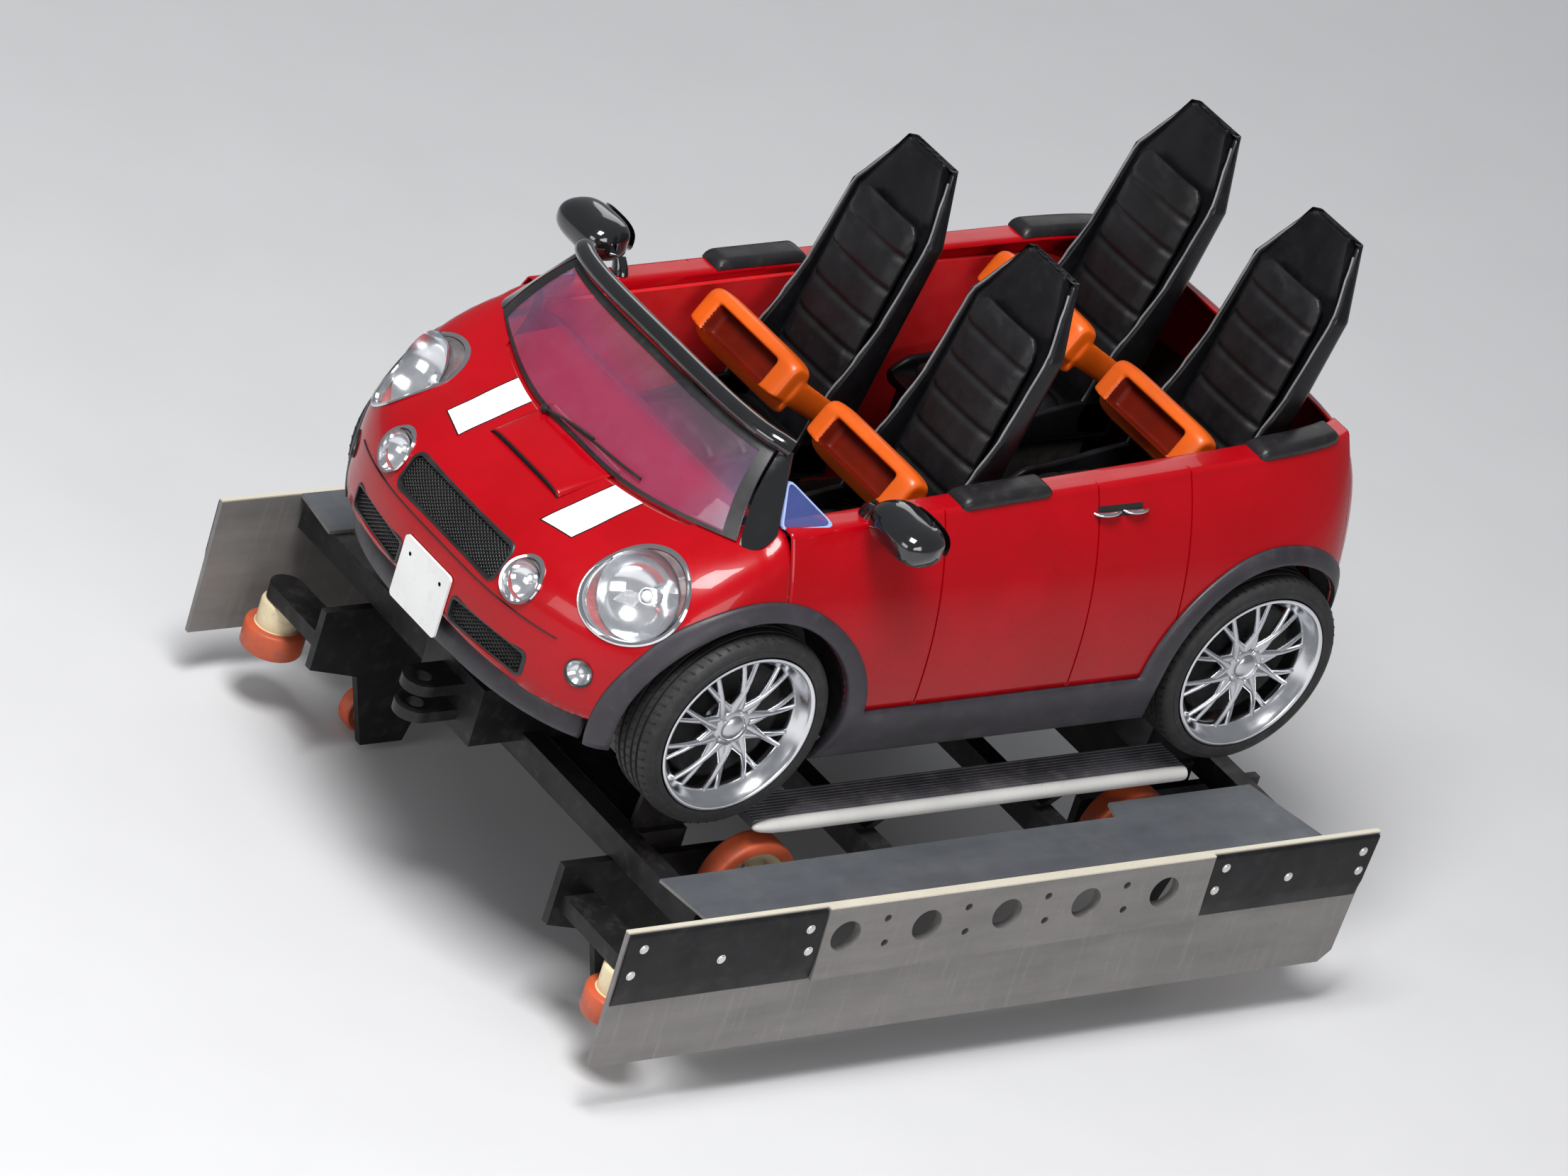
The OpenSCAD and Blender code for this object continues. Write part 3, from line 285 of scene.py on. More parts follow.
def fin_material():
    """Light dusty side plate with a darker top plate and a pale edge between them, partly a worn bare edge and partly a
    painted highlight.
    """
    n = Nodes("fin_paint_all")
    x, y, z = n.axes()
    across, corner = n.size(y), 0.8105
    top = n.mul(n.over(z, 0.4565), n.under(across, corner))
    soft = n.patches((0.3, 0.0), (0.72, 1.0), 4.0, 8.0, 0.65, (0.5, 3.0, 3.0))
    side = n.blend(soft, (0.155, 0.147, 0.140), (0.225, 0.213, 0.203))
    side = n.blend(n.patches((0.55, 0.0), (0.8, 0.5), 9.0, 6.0, 0.7, (8.0, 8.0, 0.5)), side, (0.33, 0.315, 0.29))
    dark = n.blend(soft, (0.062, 0.068, 0.078), (0.088, 0.094, 0.105))
    dark = n.blend(n.patches((0.5, 0.0), (0.85, 0.3), 12.0, 8.0, 0.7), dark, (0.15, 0.14, 0.13))
    # Pale band along the top corner: partly worn bare edge, partly painted highlight
    edge = n.mul(n.over(z, 0.4535), n.over(across, corner))
    col = n.blend(edge, n.blend(top, side, dark), (0.60, 0.56, 0.46))
    col = n.blend(n.patches((0.66, 0.0), (0.74, 0.5), 160.0, 3.0, 0.6), col, (0.06, 0.055, 0.05))
    gloss = n.patches((0.3, 0.40), (0.7, 0.66), 14.0, 6.0)
    return n.out(col, gloss, n.bump(n.noise(260.0, 3.0), 0.12, 0.0006), Metallic=0.15)


MAT = {
    "paint": paint("body_paint"),
    "bonnet": paint("bonnet_paint", True),
    "trim": surface("trim_plastic", (0.028, 0.025, 0.031), 0.40, 0.2, (0.11, 0.10, 0.10, 0.22), 0.22, 1400.0, spec=0.4),
    "black": surface("black_plastic", (0.012, 0.012, 0.013), 0.38, 0.3, (0.09, 0.08, 0.07, 0.18), 0.12, 1200.0),
    "shell": surface("seat_plastic", (0.005, 0.005, 0.006), 0.30, 0.3, (0.05, 0.045, 0.04, 0.10), 0.10, spec=0.3),
    "gloss": surface("mirror_gloss", (0.006, 0.006, 0.007), 0.10, 0.2, coat=1.0),
    "steel": surface("black_steel", (0.010, 0.010, 0.011), 0.48, 0.35, (0.10, 0.08, 0.06, 0.30), 0.12, 300.0,
                     metallic=0.2, spec=0.35),
    "strap": surface("strap_black", (0.006, 0.006, 0.007), 0.45, 0.3, (0.06, 0.055, 0.05, 0.20), 0.10, 300.0,
                     spec=0.25),
    "fin": fin_material(),
    "tub": tub_material(),
    "tyre": tyre_material(),
    "silver": metal("rim_silver", (0.80, 0.81, 0.84), 0.20),
    "spoke": metal("spoke_silver", (0.62, 0.63, 0.66), 0.26),
    "chrome": metal("chrome", (0.86, 0.87, 0.89), 0.06),
    "bare": surface("nosing_white", (0.56, 0.55, 0.53), 0.34, 0.08, (0.36, 0.33, 0.29, 0.30), 0.06, 500.0, coat=0.3),
    "bolt": metal("bolt_zinc", (0.74, 0.73, 0.70), 0.30),
    "rubber": surface("step_rubber", (0.085, 0.080, 0.092), 0.58, 0.35, (0.20, 0.17, 0.14, 0.55), 0.25, 500.0),
    "pad": surface("sill_pad", (0.010, 0.009, 0.010), 0.40, 0.25, (0.08, 0.07, 0.06, 0.2), 0.2, 600.0, spec=0.35),
    # Darker red-orange for the inside of the lap bars' trays: painted shade
    "tray": surface("orange_foam_painted_shade", (0.115, 0.006, 0.001), 0.42, 0.2, (0.08, 0.015, 0.006, 0.30), 0.16, 700.0,
                    spec=0.15),
    "orange": surface("orange_foam", (0.62, 0.092, 0.004), 0.36, 0.14, (0.30, 0.09, 0.02, 0.30), 0.16, 700.0),
    "leather": leather("seat_leather", (0.006, 0.006, 0.007)),
    "piping": surface("piping", (0.16, 0.16, 0.17), 0.35, 0.2, None, 0.1),
    # Windscreen: its magenta is painted see-through and reflected colour of the red body
    "glass": glass("screen_glass", (0.32, 0.07, 0.16), 0.02, 0.27, True),
    "quarter": glass("quarter_glass", (0.045, 0.065, 0.21), 0.03, 0.82),
    "lens": glass("lamp_lens", (0.93, 0.95, 0.97), 0.02, 0.13),
    "red_lens": surface("red_lens", (0.42, 0.010, 0.008), 0.10, 0.2, coat=1.0),
    "reflector": metal("reflector", (0.82, 0.84, 0.87), 0.13),
    "bulb": surface("bulb_glass", (0.80, 0.82, 0.84), 0.12, 0.05),
    "white": surface("plate_white", (0.74, 0.74, 0.73), 0.36, 0.05, (0.40, 0.36, 0.32, 0.3), 0.05, 500.0),
    # Near-black for gaps, slits, cuts and recesses: painted shade
    "slot": surface("gap_painted_shade", (0.003, 0.003, 0.003), 0.8, 0.1),
    "mirror": metal("mirror_face", (0.80, 0.83, 0.86), 0.04),
    "pane_rim": surface("pane_rim", (0.26, 0.34, 0.60), 0.15, 0.1, coat=0.5),
    "worn_red": surface("worn_red_tread", (0.50, 0.085, 0.030), 0.46, 0.28, (0.12, 0.07, 0.05, 0.75), 0.25, 400.0),
    "cream": surface("cream_hub", (0.66, 0.56, 0.36), 0.42, 0.2, (0.18, 0.13, 0.09, 0.6), 0.10, 300.0),
}


# Meshes


def linked(name, data):
    """New object in the scene."""
    obj = bpy.data.objects.new(name, data)
    bpy.context.collection.objects.link(obj)
    return obj


def clean(me, dist):
    """Joins points closer than dist and turns the faces outward."""
    bm = bmesh.new()
    bm.from_mesh(me)
    bmesh.ops.remove_doubles(bm, verts=bm.verts, dist=dist)
    bmesh.ops.recalc_face_normals(bm, faces=bm.faces)
    bm.to_mesh(me)
    bm.free()


def modify(obj, kind, **settings):
    m = obj.modifiers.new(kind.lower(), kind)
    for key, v in settings.items():
        setattr(m, key, v)
    return m


def bevel(obj, width_mm, segments=2):
    modify(obj, "BEVEL", width=width_mm / 1000, segments=segments, limit_method="ANGLE", angle_limit=radians(35))


def thicken(obj, mm):
    modify(obj, "SOLIDIFY", thickness=mm / 1000, offset=-1.0)


def skin(name, rows, mat, mm, slot, replaces=()):
    """Piece from one open grid of points, with a wall behind it."""
    b = Build()
    b.grid(rows)
    thicken(b.make(name, mat, slot=slot, replaces=replaces), mm)


def keep_evaluated(obj):
    """Applies every modifier by keeping the evaluated mesh."""
    dg = bpy.context.evaluated_depsgraph_get()
    me = bpy.data.meshes.new_from_object(obj.evaluated_get(dg))
    obj.modifiers.clear()
    old, obj.data = obj.data, me
    bpy.data.meshes.remove(old)


def grid_faces(rows, cols, wrap_cols=False, wrap_rows=False):
    faces = []
    for i in range(rows if wrap_rows else rows - 1):
        for j in range(cols if wrap_cols else cols - 1):
            a, b, k = i * cols, (i + 1) % rows * cols, (j + 1) % cols
            faces.append((a + j, a + k, b + k, b + j))
    return faces


class Build:
    """Gathers points and faces of one piece, with a material number for each face."""

    def __init__(self):
        self.v, self.f, self.m = [], [], []

    def add(self, verts, faces, mat=0):
        s = len(self.v)
        self.v += [tuple(p) for p in verts]
        self.f += [tuple(s + i for i in f) for f in faces]
        self.m += [mat] * len(faces)

    def face(self, verts, mat=0):
        self.add(verts, [tuple(range(len(verts)))], mat)

    def grid(self, rows, mat=0, wrap_cols=False, wrap_rows=False, caps=False):
        n, m = len(rows), len(rows[0])
        faces = grid_faces(n, m, wrap_cols, wrap_rows)
        if caps:
            faces += [tuple(range(m)), tuple((n - 1) * m + j for j in reversed(range(m)))]
        self.add([p for r in rows for p in r], faces, mat)

    def lathe(self, profile, centre, axis, mat=0, sides=48, closed=True):
        """Turns (radius, height) pairs about an axis through centre."""
        a = Vector(axis).normalized()
        u = a.orthogonal().normalized()
        w = a.cross(u)
        self.grid([[Vector(centre) + a * h + (u * cos(t) + w * sin(t)) * r for t in turns(sides)] for r, h in profile],
                  mat, wrap_cols=True, wrap_rows=closed)

    def spin(self, profile, mat=0, sides=64, closed=True):
        """Turns (radius, height) pairs about the Z axis."""
        self.lathe(profile, (0, 0, 0), (0, 0, 1), mat, sides, closed)

    def tube(self, path, r, mat=0, sides=12, up=(0, 0, 1)):
        """Tube along points; r is one radius or a pair (across, along up) for each point or for all."""
        pts = [Vector(p) for p in path]
        rows = []
        for i, p in enumerate(pts):
            d = (pts[min(i + 1, len(pts) - 1)] - pts[max(i - 1, 0)]).normalized()
            s = d.cross(Vector(up))
            s = s.normalized() if s.length > 1e-4 else d.orthogonal().normalized()
            u = s.cross(d)
            ri = r[i] if isinstance(r, list) else r
            ra, rb = ri if isinstance(ri, tuple) else (ri, ri)
            rows.append([p + s * ra * cos(t) + u * rb * sin(t) for t in turns(sides)])
        self.grid(rows, mat, wrap_cols=True, caps=True)

    def bolt(self, centre, axis, r, h, mat=0, sides=6):
        self.lathe([(0.01, 0), (r, 0), (r, h * 0.8), (r * 0.8, h), (0.01, h)], centre, axis, mat, sides, False)

    def bolt_ring(self, count, radius, z, up, r, h, start=0.0):
        """Bolts round the Z axis in the third material."""
        for k in range(count):
            a = 2 * pi * (k + start) / count
            self.bolt((radius * cos(a), radius * sin(a), z), (0, 0, up), r, h, 2)

    def flip(self, left):
        """Moves the piece to the right-hand side unless it belongs on the left."""
        self.v = [mirrored(p, left) for p in self.v]
        return self

    def both(self):
        """Adds the mirror image on the other side of the car."""
        self.add([(x, -y, z) for x, y, z in self.v], [tuple(reversed(f)) for f in self.f])
        half = len(self.m) // 2
        self.m[half:] = self.m[:half]
        return self

    def make(self, name, mats, body="car", slot=None, replaces=(), smooth=True):
        """New object from the gathered points, riding on a body."""
        me = bpy.data.meshes.new(name)
        me.from_pydata([at(*v) for v in self.v], [], self.f)
        me.validate()
        for m in [mats] if isinstance(mats, str) else mats:
            me.materials.append(MAT[m])
        me.polygons.foreach_set("material_index", np.asarray(self.m, dtype=np.int32)[: len(me.polygons)])
        me.polygons.foreach_set("use_smooth", [smooth] * len(me.polygons))
        clean(me, 1e-6)
        if smooth:
            me.set_sharp_from_angle(angle=radians(42))
        obj = linked(name, me)
        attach(obj, body)
        if replaces:
            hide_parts(*replaces)
        return obj


def mirrored(p, left):
    return (p[0], p[1] if left else -p[1], p[2])


def left_right(left):
    return "left" if left else "right"


# Body surface, by the same rules as the part's source


def end_curve(t, power, root):
    """Share of a size that is left at t on the way to a rounded tip."""
    return max(1e-9, 1 - t ** power) ** (1 / root)


def half_w(x):
    """Half width of the body's section at its waist line."""
    front = (x - FRONT_START) / (NOSE_X - FRONT_START)
    rear = (-x - REAR_START) / (TAIL_X - REAR_START)
    return BODY_HALF * end_curve(clamp01(front), 5, 2.5) * end_curve(clamp01(rear), 8, 2.5)


def end_h(x, root=2):
    """Share of the section's height that is left towards the nose and the tail."""
    front, rear = (x - COWL_X) / (NOSE_X - COWL_X), (-x - 700) / (TAIL_X - 700)
    return end_curve(clamp01(front), 11, root) * end_curve(clamp01(rear), 7, root)


def belt_z(x):
    """Height of the sides' top edge, which rises towards the rear."""
    return mix(BELT_FRONT, BELT_REAR, clamp01((COWL_X - x) / (COWL_X + BELT_END)))


def deck_z(x):
    """Height of the body's upper surface: the belt, then the bonnet sloping down to the nose."""
    past = x - COWL_X
    if past > COWL_RUN:
        return BONNET_Z - BONNET_SLOPE * (past - COWL_RUN)
    return mix(belt_z(min(x, COWL_X)), BONNET_Z, ease(past / COWL_RUN))


def shoulder(x):
    """How sharply side and deck meet; a lower power is rounder."""
    return mix(24.0, 4.0, ease((x - 560) / 380)) if x > 0 else mix(24.0, 7.0, ease((-x - 850) / 120))


def side_r(x, th, rise):
    return ((max(1e-6, abs(cos(th))) / half_w(x)) ** ROUND + (abs(sin(th)) / rise) ** ROUND) ** (-1 / ROUND)


def polar(a, b, power):
    """Rounded join of two radii, sharper for a higher power."""
    return (a ** -power + b ** -power) ** (-1 / power)


def body_r(x, th):
    """Radius of the body's section from its waist line, at an angle over the horizontal."""
    up = sin(th)
    if up >= 0:
        roof = (deck_z(x) - WAIST_Z) * end_h(x) / max(1e-3, up)
        return polar(side_r(x, th, SIDE_RISE), roof, shoulder(x))
    floor = (WAIST_Z - BUMPER_Z) * end_h(x, 5) / max(1e-3, -up)
    return polar(side_r(x, th, TUCK), floor, 12)


def on_body(x, th):
    r = body_r(x, th)
    return (x, r * cos(th), WAIST_Z + r * sin(th))


def angle_at(x, z):
    """Angle at which the body's section has a height."""
    return bisect(radians(-80.0), radians(85.0), lambda m: on_body(x, m)[2] < z)


def side_y(x, z, wall=0.0):
    """Half width of the side at a height, less the thickness of a wall."""
    rise = SIDE_RISE if z > WAIST_Z else TUCK
    return half_w(x) * max(0.0, 1 - (abs(z - WAIST_Z) / rise) ** ROUND) ** (1 / ROUND) - wall


def panel_low(x):
    """Lower edge of the painted panels, over the wheel arches and along the sills and bumpers."""
    a = abs(abs(x) - AXLE_X)
    return max(sqrt(ARCH_R ** 2 - a * a) if a < ARCH_R else -1e3, BUMPER_Z if abs(x) > AXLE_X else SILL_Z)


def face_x(y, z, lo, hi):
    """Front or rear face of the body at a place across the car and a height."""
    th = atan2(z - WAIST_Z, max(0.01, abs(y)))
    return bisect(lo, hi, lambda m: body_r(m, th) > hypot(y, z - WAIST_Z))


def nose_face(y, z):
    return face_x(y, z, COWL_X, NOSE_X - 0.01)


def tail_face(y, z):
    return face_x(y, z, -DECK_X, -TAIL_X + 0.01)


def screen_base(th):
    q = (BODY_HALF - 49) * abs(cos(th)) / (BODY_HALF - 132)
    return COWL_X + 30 + 168 * sqrt(max(0.0, 1 - min(1.0, q) ** 5))


def bonnet_back(th):
    a = degrees(min(th, pi - th))
    return COWL_X if a < 38 else mix(COWL_X, screen_base(th), clamp01((a - 38) / 3))


def over_z(x, y):
    """Height of the body's upper side at a place."""
    return on_body(x, bisect(radians(5), radians(90), lambda m: body_r(x, m) * cos(m) >= abs(y)))[2]


def under_z(x, y):
    """Height of the body's under side at a place."""
    return on_body(x, bisect(radians(-88.5), radians(-3), lambda m: body_r(x, m) * cos(m) < abs(y), 22))[2]


def return_angle(x, tip, start):
    """Angle of a bumper's lower edge, which turns under the car towards the tip."""
    base = -atan2(WAIST_Z - BUMPER_Z, max(8.0, half_w(x) - 60))
    return mix(base, radians(-88.5), ease((abs(x) - start) / (tip - start)))


def ring_angles(lo):
    """Angles round a closed section, closer together at the shoulders."""
    half = [mix(lo, radians(20), k / 22) for k in range(22)]
    half += [radians(a) for a in (20, 22, 24, 26, 28, 30, 32, 34, 36, 38, 39.5, 41, 43, 45, 48, 51, 55, 59, 64, 69, 74,
                                  79, 84, 90)]
    return half + [pi - a for a in reversed(half[:-1])]


def end_panel(name, mat, node, sign, tip, back, count, power):
    """Nose or tail from its rear edge, given by back, to a small closed face just short of the tip."""
    edge = AXLE_X + ARCH_R
    rows = []
    for s in shares(count):
        u = min(0.99995, 1 - (1 - s) ** power)
        x = sign * mix(back(0.0), tip, u)
        lo = angle_at(x, panel_low(x)) if abs(x) < edge - 1 else return_angle(x, tip, edge)
        rows.append([on_body(sign * mix(back(th), tip, u), th) for th in ring_angles(lo)])
    shell = Build()
    shell.grid(rows)
    shell.face(rows[-1])
    return shell.make(name, mat, slot="body_red", replaces=(node,))


DOOR_LINES = (240.0, -172.0, -426.0)
TUB_SIDE = 441.0


def side_panel(left):
    """Side with its door lines pressed in, a rolled top edge and an inner face down to the tub."""
    ends = (-DECK_X + 0.4, COWL_X - 0.4)
    wall, outer_r, inner_r = 60, 12, 8
    xs = [mix(*ends, s) for s in shares(150)]
    for s in (-1, 1):
        xs += [s * AXLE_X + ARCH_R * cos(radians(a)) for a in range(0, 181, 4)]
    xs = [x for x in xs if all(abs(x - g) > 5 for g in DOOR_LINES)]
    for g in DOOR_LINES:
        xs += [g + o for o in (-5, -3.2, -2.2, -1.4, 1.4, 2.2, 3.2, 5)]
    xs = sorted(x for x in xs if ends[0] <= x <= ends[1])
    xs = [x for i, x in enumerate(xs) if i == 0 or x - xs[i - 1] > 0.3]
    rows = []
    for x in xs:
        low, top = panel_low(x), belt_z(x)
        press = 5.0 if any(abs(x - g) < 1.6 for g in DOOR_LINES) else 0.0
        row = [(x, side_y(x, z) - press, z) for z in (mix(low, top - outer_r, s) for s in shares(28))]
        y0 = side_y(x, top - outer_r) - press
        for t in (radians(a) for a in (15, 35, 55, 75, 90)):
            row.append((x, y0 - outer_r * (1 - cos(t)) - 3 * sin(t), top - outer_r + outer_r * sin(t)))
        inner = side_y(x, top, wall) + inner_r
        row += [(x, mix(row[-1][1], inner, f), top) for f in (0.33, 0.66, 1.0)]
        for t in (radians(a) for a in (30, 60, 90)):
            row.append((x, inner - inner_r * sin(t), top - inner_r * (1 - cos(t))))
        edge = tub_height(x)
        for z in (mix(top - inner_r, edge, 0.5), edge, edge - 30):
            row.append((x, min(side_y(x, z, wall), TUB_SIDE), z))
        rows.append([mirrored(p, left) for p in row])
    name = left_right(left)
    skin("side_skin_" + name, rows, "paint", 4, "body_red", ("side_" + name,))


def tub_height(x):
    """Height of the tub's upper edge."""
    return np.interp(x, (-875, -700, 0, 628), (366.0, 432.0, 428.0, 408.0))


# Lamps: place, radius and direction
LAMPS = {
    "headlamps": ((929, 432, 262), 103, (0.9, 0.3, 0.36)),
    "driving_lamps": ((1074, 249, 196), 47, (1, 0.08, 0.05)),
    "marker_lamps": ((1026, 441, 85), 30, (0.86, 0.5, 0.02)),
}
GRILLE = (0, 191, 380, 82, 20)
VENTS = (215, 37, 230, 58, 14)
OPENINGS = (GRILLE, VENTS, (-VENTS[0],) + VENTS[1:])


def rounded_outline(cy, cz, w, h, r, steps=6):
    """Points round a rounded rectangle, across the car and up."""
    pts = []
    for sy, sz, a0 in ((1, 1, 0), (-1, 1, 90), (-1, -1, 180), (1, -1, 270)):
        for k in range(steps + 1):
            a = radians(a0 + 90 * k / steps)
            pts.append((cy + sy * (w / 2 - r) + r * cos(a), cz + sz * (h / 2 - r) + r * sin(a)))
    return pts


def cutter(b):
    """Closed plain object from gathered points, for a boolean."""
    me = bpy.data.meshes.new("cutter")
    me.from_pydata([at(*v) for v in b.v], [], b.f)
    clean(me, 1e-4)
    return linked("cutter", me)


def cut_holes(obj):
    """Opens the lamp and grille holes with exact booleans and keeps the result as plain mesh."""
    cutters = []
    for centre, r, n in LAMPS.values():
        for left in (True, False):
            b = Build()
            profile = [(0.01, -90), (r - 1, -90), (r - 1, 90), (0.01, 90)]
            b.lathe(profile, mirrored(centre, left), mirrored(n, left), 0, 64, False)
            cutters.append(cutter(b))
    for spec in OPENINGS:
        b = Build()
        b.grid([[(x, y, z) for y, z in rounded_outline(*spec)] for x in (1000, 1180)], wrap_cols=True, caps=True)
        cutters.append(cutter(b))
    for c in cutters:
        modify(obj, "BOOLEAN", operation="DIFFERENCE", object=c, solver="EXACT")
    keep_evaluated(obj)
    for c in cutters:
        bpy.data.objects.remove(c)


nose = end_panel("nose_skin", "bonnet", "nose", 1, NOSE_X, bonnet_back, 109, 2.2)
cut_holes(nose)
thicken(nose, 5)
thicken(end_panel("tail_skin", "paint", "tail", -1, TAIL_X, lambda th: DECK_X, 69, 2.4), 5)
for left in (True, False):
    side_panel(left)


def skin_depth(base, n):
    """How far along n a line from base crosses the body surface."""
    def inside(m):
        x, y, z = base + n * m
        th = atan2(z - WAIST_Z, abs(y))
        return abs(x) < NOSE_X - 0.01 and hypot(y, z - WAIST_Z) < body_r(x, th)
    return bisect(-140.0, 90.0, inside, 30)


def lamp(kind, mats, rings, sides, bulb):
    """Lamp that follows the body: rings of (radius share, height over the skin)."""
    centre, r, n = LAMPS[kind]
    n, c = Vector(n).normalized(), Vector(centre)
    u = n.cross(Vector((0, 0, 1))).normalized()
    w = n.cross(u)
    angles = turns(sides)
    depth = {}

    def base(q, k):
        return c + (u * cos(angles[k]) + w * sin(angles[k])) * q

    def ring(q, h):
        """Points at a radius and a height over the skin."""
        points = []
        for k in range(sides):
            key = (round(q, 3), k)
            if key not in depth:
                depth[key] = skin_depth(base(q, k), n)
            points.append(base(q, k) + n * (depth[key] + h))
        return points

    b = Build()
    b.grid([ring(q * r, h) for q, h in rings], 0, wrap_cols=True)
    mean = sum(p.dot(n) - c.dot(n) for p in ring(0.9 * r, 0)) / sides
    bowl = [(0.93, -4), (0.86, -0.22 * r), (0.70, -0.42 * r), (0.48, -0.58 * r), (0.25, -0.66 * r), (0.12, -0.68 * r),
            (0.001, -0.68 * r)]
    b.grid([[base(q * r, k) + n * (mean + h) for k in range(sides)] for q, h in bowl], 1, wrap_cols=True)
    b.lathe([(max(0.01, bulb * sin(pi * s)), mean - 0.60 * r + bulb - bulb * cos(pi * s)) for s in shares(10)],
            c, n, 2, 24, False)
    socket = [(1.35, -0.62), (1.35, -0.40), (1.2, -0.38), (1.2, -0.62)]
    b.lathe([(bulb * p, mean + h * r) for p, h in socket], c, n, 0, 32)
    b.both().make(kind + "_body", mats, slot="lamp_clear", replaces=(kind,))
    lens = Build()
    lens.grid([ring(max(0.001, 0.93 * r * s), -1 + 0.10 * r * (1 - s ** 2)) for s in reversed(shares(12))],
              0, wrap_cols=True)
    lens.both().make(kind + "_lens", "lens", slot="lamp_clear")


lamp("headlamps", ["chrome", "reflector", "bulb"],
     [(0.985, -16), (1.02, -2), (1.045, 3.5), (1.01, 6), (0.96, 4), (0.935, -1), (0.93, -14)], 72, 13)
lamp("driving_lamps", ["chrome", "reflector", "bulb"],
     [(0.985, -14), (1.03, 0), (1.09, 5), (1.05, 9), (0.95, 7), (0.93, 0), (0.93, -10)], 48, 8)
lamp("marker_lamps", ["black", "reflector", "bulb"],
     [(0.985, -10), (1.02, 0), (1.06, 3), (1.0, 4.5), (0.93, 1), (0.93, -8)], 40, 6)

TRAY_RIM = 5.0


def face_tray(b, spec, depth=15):
    """Dark tray behind an opening in the nose, with a raised rim round its mouth; its inner walls and back are
    near-black painted shade.
    """
    cy, cz, w, h, r = spec
    mouth = rounded_outline(*spec)
    inner = rounded_outline(cy, cz, w - 2 * TRAY_RIM, h - 2 * TRAY_RIM, max(3, r - TRAY_RIM))
    outer = rounded_outline(cy, cz, w + 5, h + 5, r + 2.5)
    rows = [[(nose_face(y, z) + lift, y, z) for y, z in ring] for ring, lift in
            ((outer, -1.5), (outer, 1.5), (mouth, 3.5), (inner, 2.5), (inner, -3), (inner, -depth))]
    b.grid(rows[:5], 0, wrap_cols=True)
    b.grid(rows[4:], 1, wrap_cols=True)
    back = []
    for s in (1, 0.8, 0.6, 0.4, 0.2, 0.01):
        ring = [(cy + s * (y - cy), cz + s * (z - cz)) for y, z in inner]
        back.append([(nose_face(y, z) - depth, y, z) for y, z in ring])
    b.grid(back, 1, wrap_cols=True)


def crossed_wires(b, spec, pitch, back=7.0, slope=0.62, half=1.5):
    """Wires in both slanting directions behind an opening, ended at its rounded outline."""
    cy, cz, w, h, r = spec
    r = max(3, r - TRAY_RIM)
    w2, h2 = w / 2 - 4, h / 2 - 4

    def inside(y, z):
        dy, dz = abs(y - cy), abs(z - cz)
        ey, ez = dy - (w2 - r), dz - (h2 - r)
        return dy <= w2 and dz <= h2 and not (ey > 0 and ez > 0 and hypot(ey, ez) > r)
    span = w2 + h2 / slope
    for s in (1, -1):
        for i in range(int(2 * span / pitch) + 1):
            path = []
            for k in range(41):
                z = cz - h2 + 2 * h2 * k / 40
                y = cy - span + i * pitch + s * (z - cz) / slope
                if inside(y, z):
                    path.append((nose_face(y, z) - back + s * 0.9, y, z))
            if len(path) > 4:
                b.tube(path[::4] + [path[-1]] * ((len(path) - 1) % 4 > 0), half, 2, 5, up=(1, 0, 0))


b = Build()
for spec, pitch in zip(OPENINGS, (13.0, 15.0, 15.0)):
    face_tray(b, spec)
    crossed_wires(b, spec, pitch)
b.make("grilles", ["black", "slot", "black"], slot="grille_dark", replaces=("grille",))

# Shut line round the nose, under the grille: a thin near-black tube on the surface, painted shade of the gap
b = Build()
path = [(nose_face(y, 134) + 0.2, y, 134) for y in range(-380, 381, 20)]
b.tube(path, (2.6, 1.2), 0, 8)
b.make("nose_seam", "slot", slot="grille_dark")


def bonnet_point(x, y):
    return on_body(x, atan2(deck_z(x) - WAIST_Z, y))


def scoop(x0, x1, half, rise):
    """Scoop on the bonnet with an open front, whose inner faces are near-black painted shade."""
    rows = []
    for s in shares(24):
        x = mix(x0, x1, s)
        h = rise * (1 - ease(s)) ** 0.8 + 0.4
        row = []
        for y in (mix(-half, half, t) for t in shares(32)):
            p = bonnet_point(x, y)
            row.append((x, p[1], p[2] + h * max(0.0, 1 - (abs(y) / half) ** 6) ** 0.5 - 0.6))
        rows.append(row)
    b = Build()
    b.grid(rows, 0)
    front = rows[0]
    low = [(x0 - 1, p[1], bonnet_point(x0, p[1])[2] + 0.3) for p in front]
    b.grid([[(x + 2, y, z - 1.2) for x, y, z in front], [(x - 10, y * 0.98, z - 5) for x, y, z in front]], 1)
    b.grid([[(x - 2, y * 0.985, z - 2.5) for x, y, z in front], low], 1)
    return b


thicken(scoop(944, 800, 134, 15).make("bonnet_scoop", ["paint", "slot"], slot="body_red"), 2.0)


# Glass, frame and wiper


def screen_foot(deg):
    th = radians(deg)
    x, y, z = on_body(screen_base(th), th)
    return (x - 6, y, z + 4.3)


def screen_head(deg):
    y = screen_foot(deg)[1] * 0.83
    return (600 + 74 * sqrt(max(0.0, 1 - min(1.0, abs(y) / 402) ** 3)), y, 566 - 12 * (y / 385) ** 2)


def on_glass(deg, t, off=0.0):
    """Point on the glass by its angle round the car and the share of its height, off its face by off."""
    x, y, z = between(screen_foot(deg), screen_head(deg), t)
    k = sin(pi * t)
    return (x + 14 * k + off, y, z + 6 * k + off * 0.5)


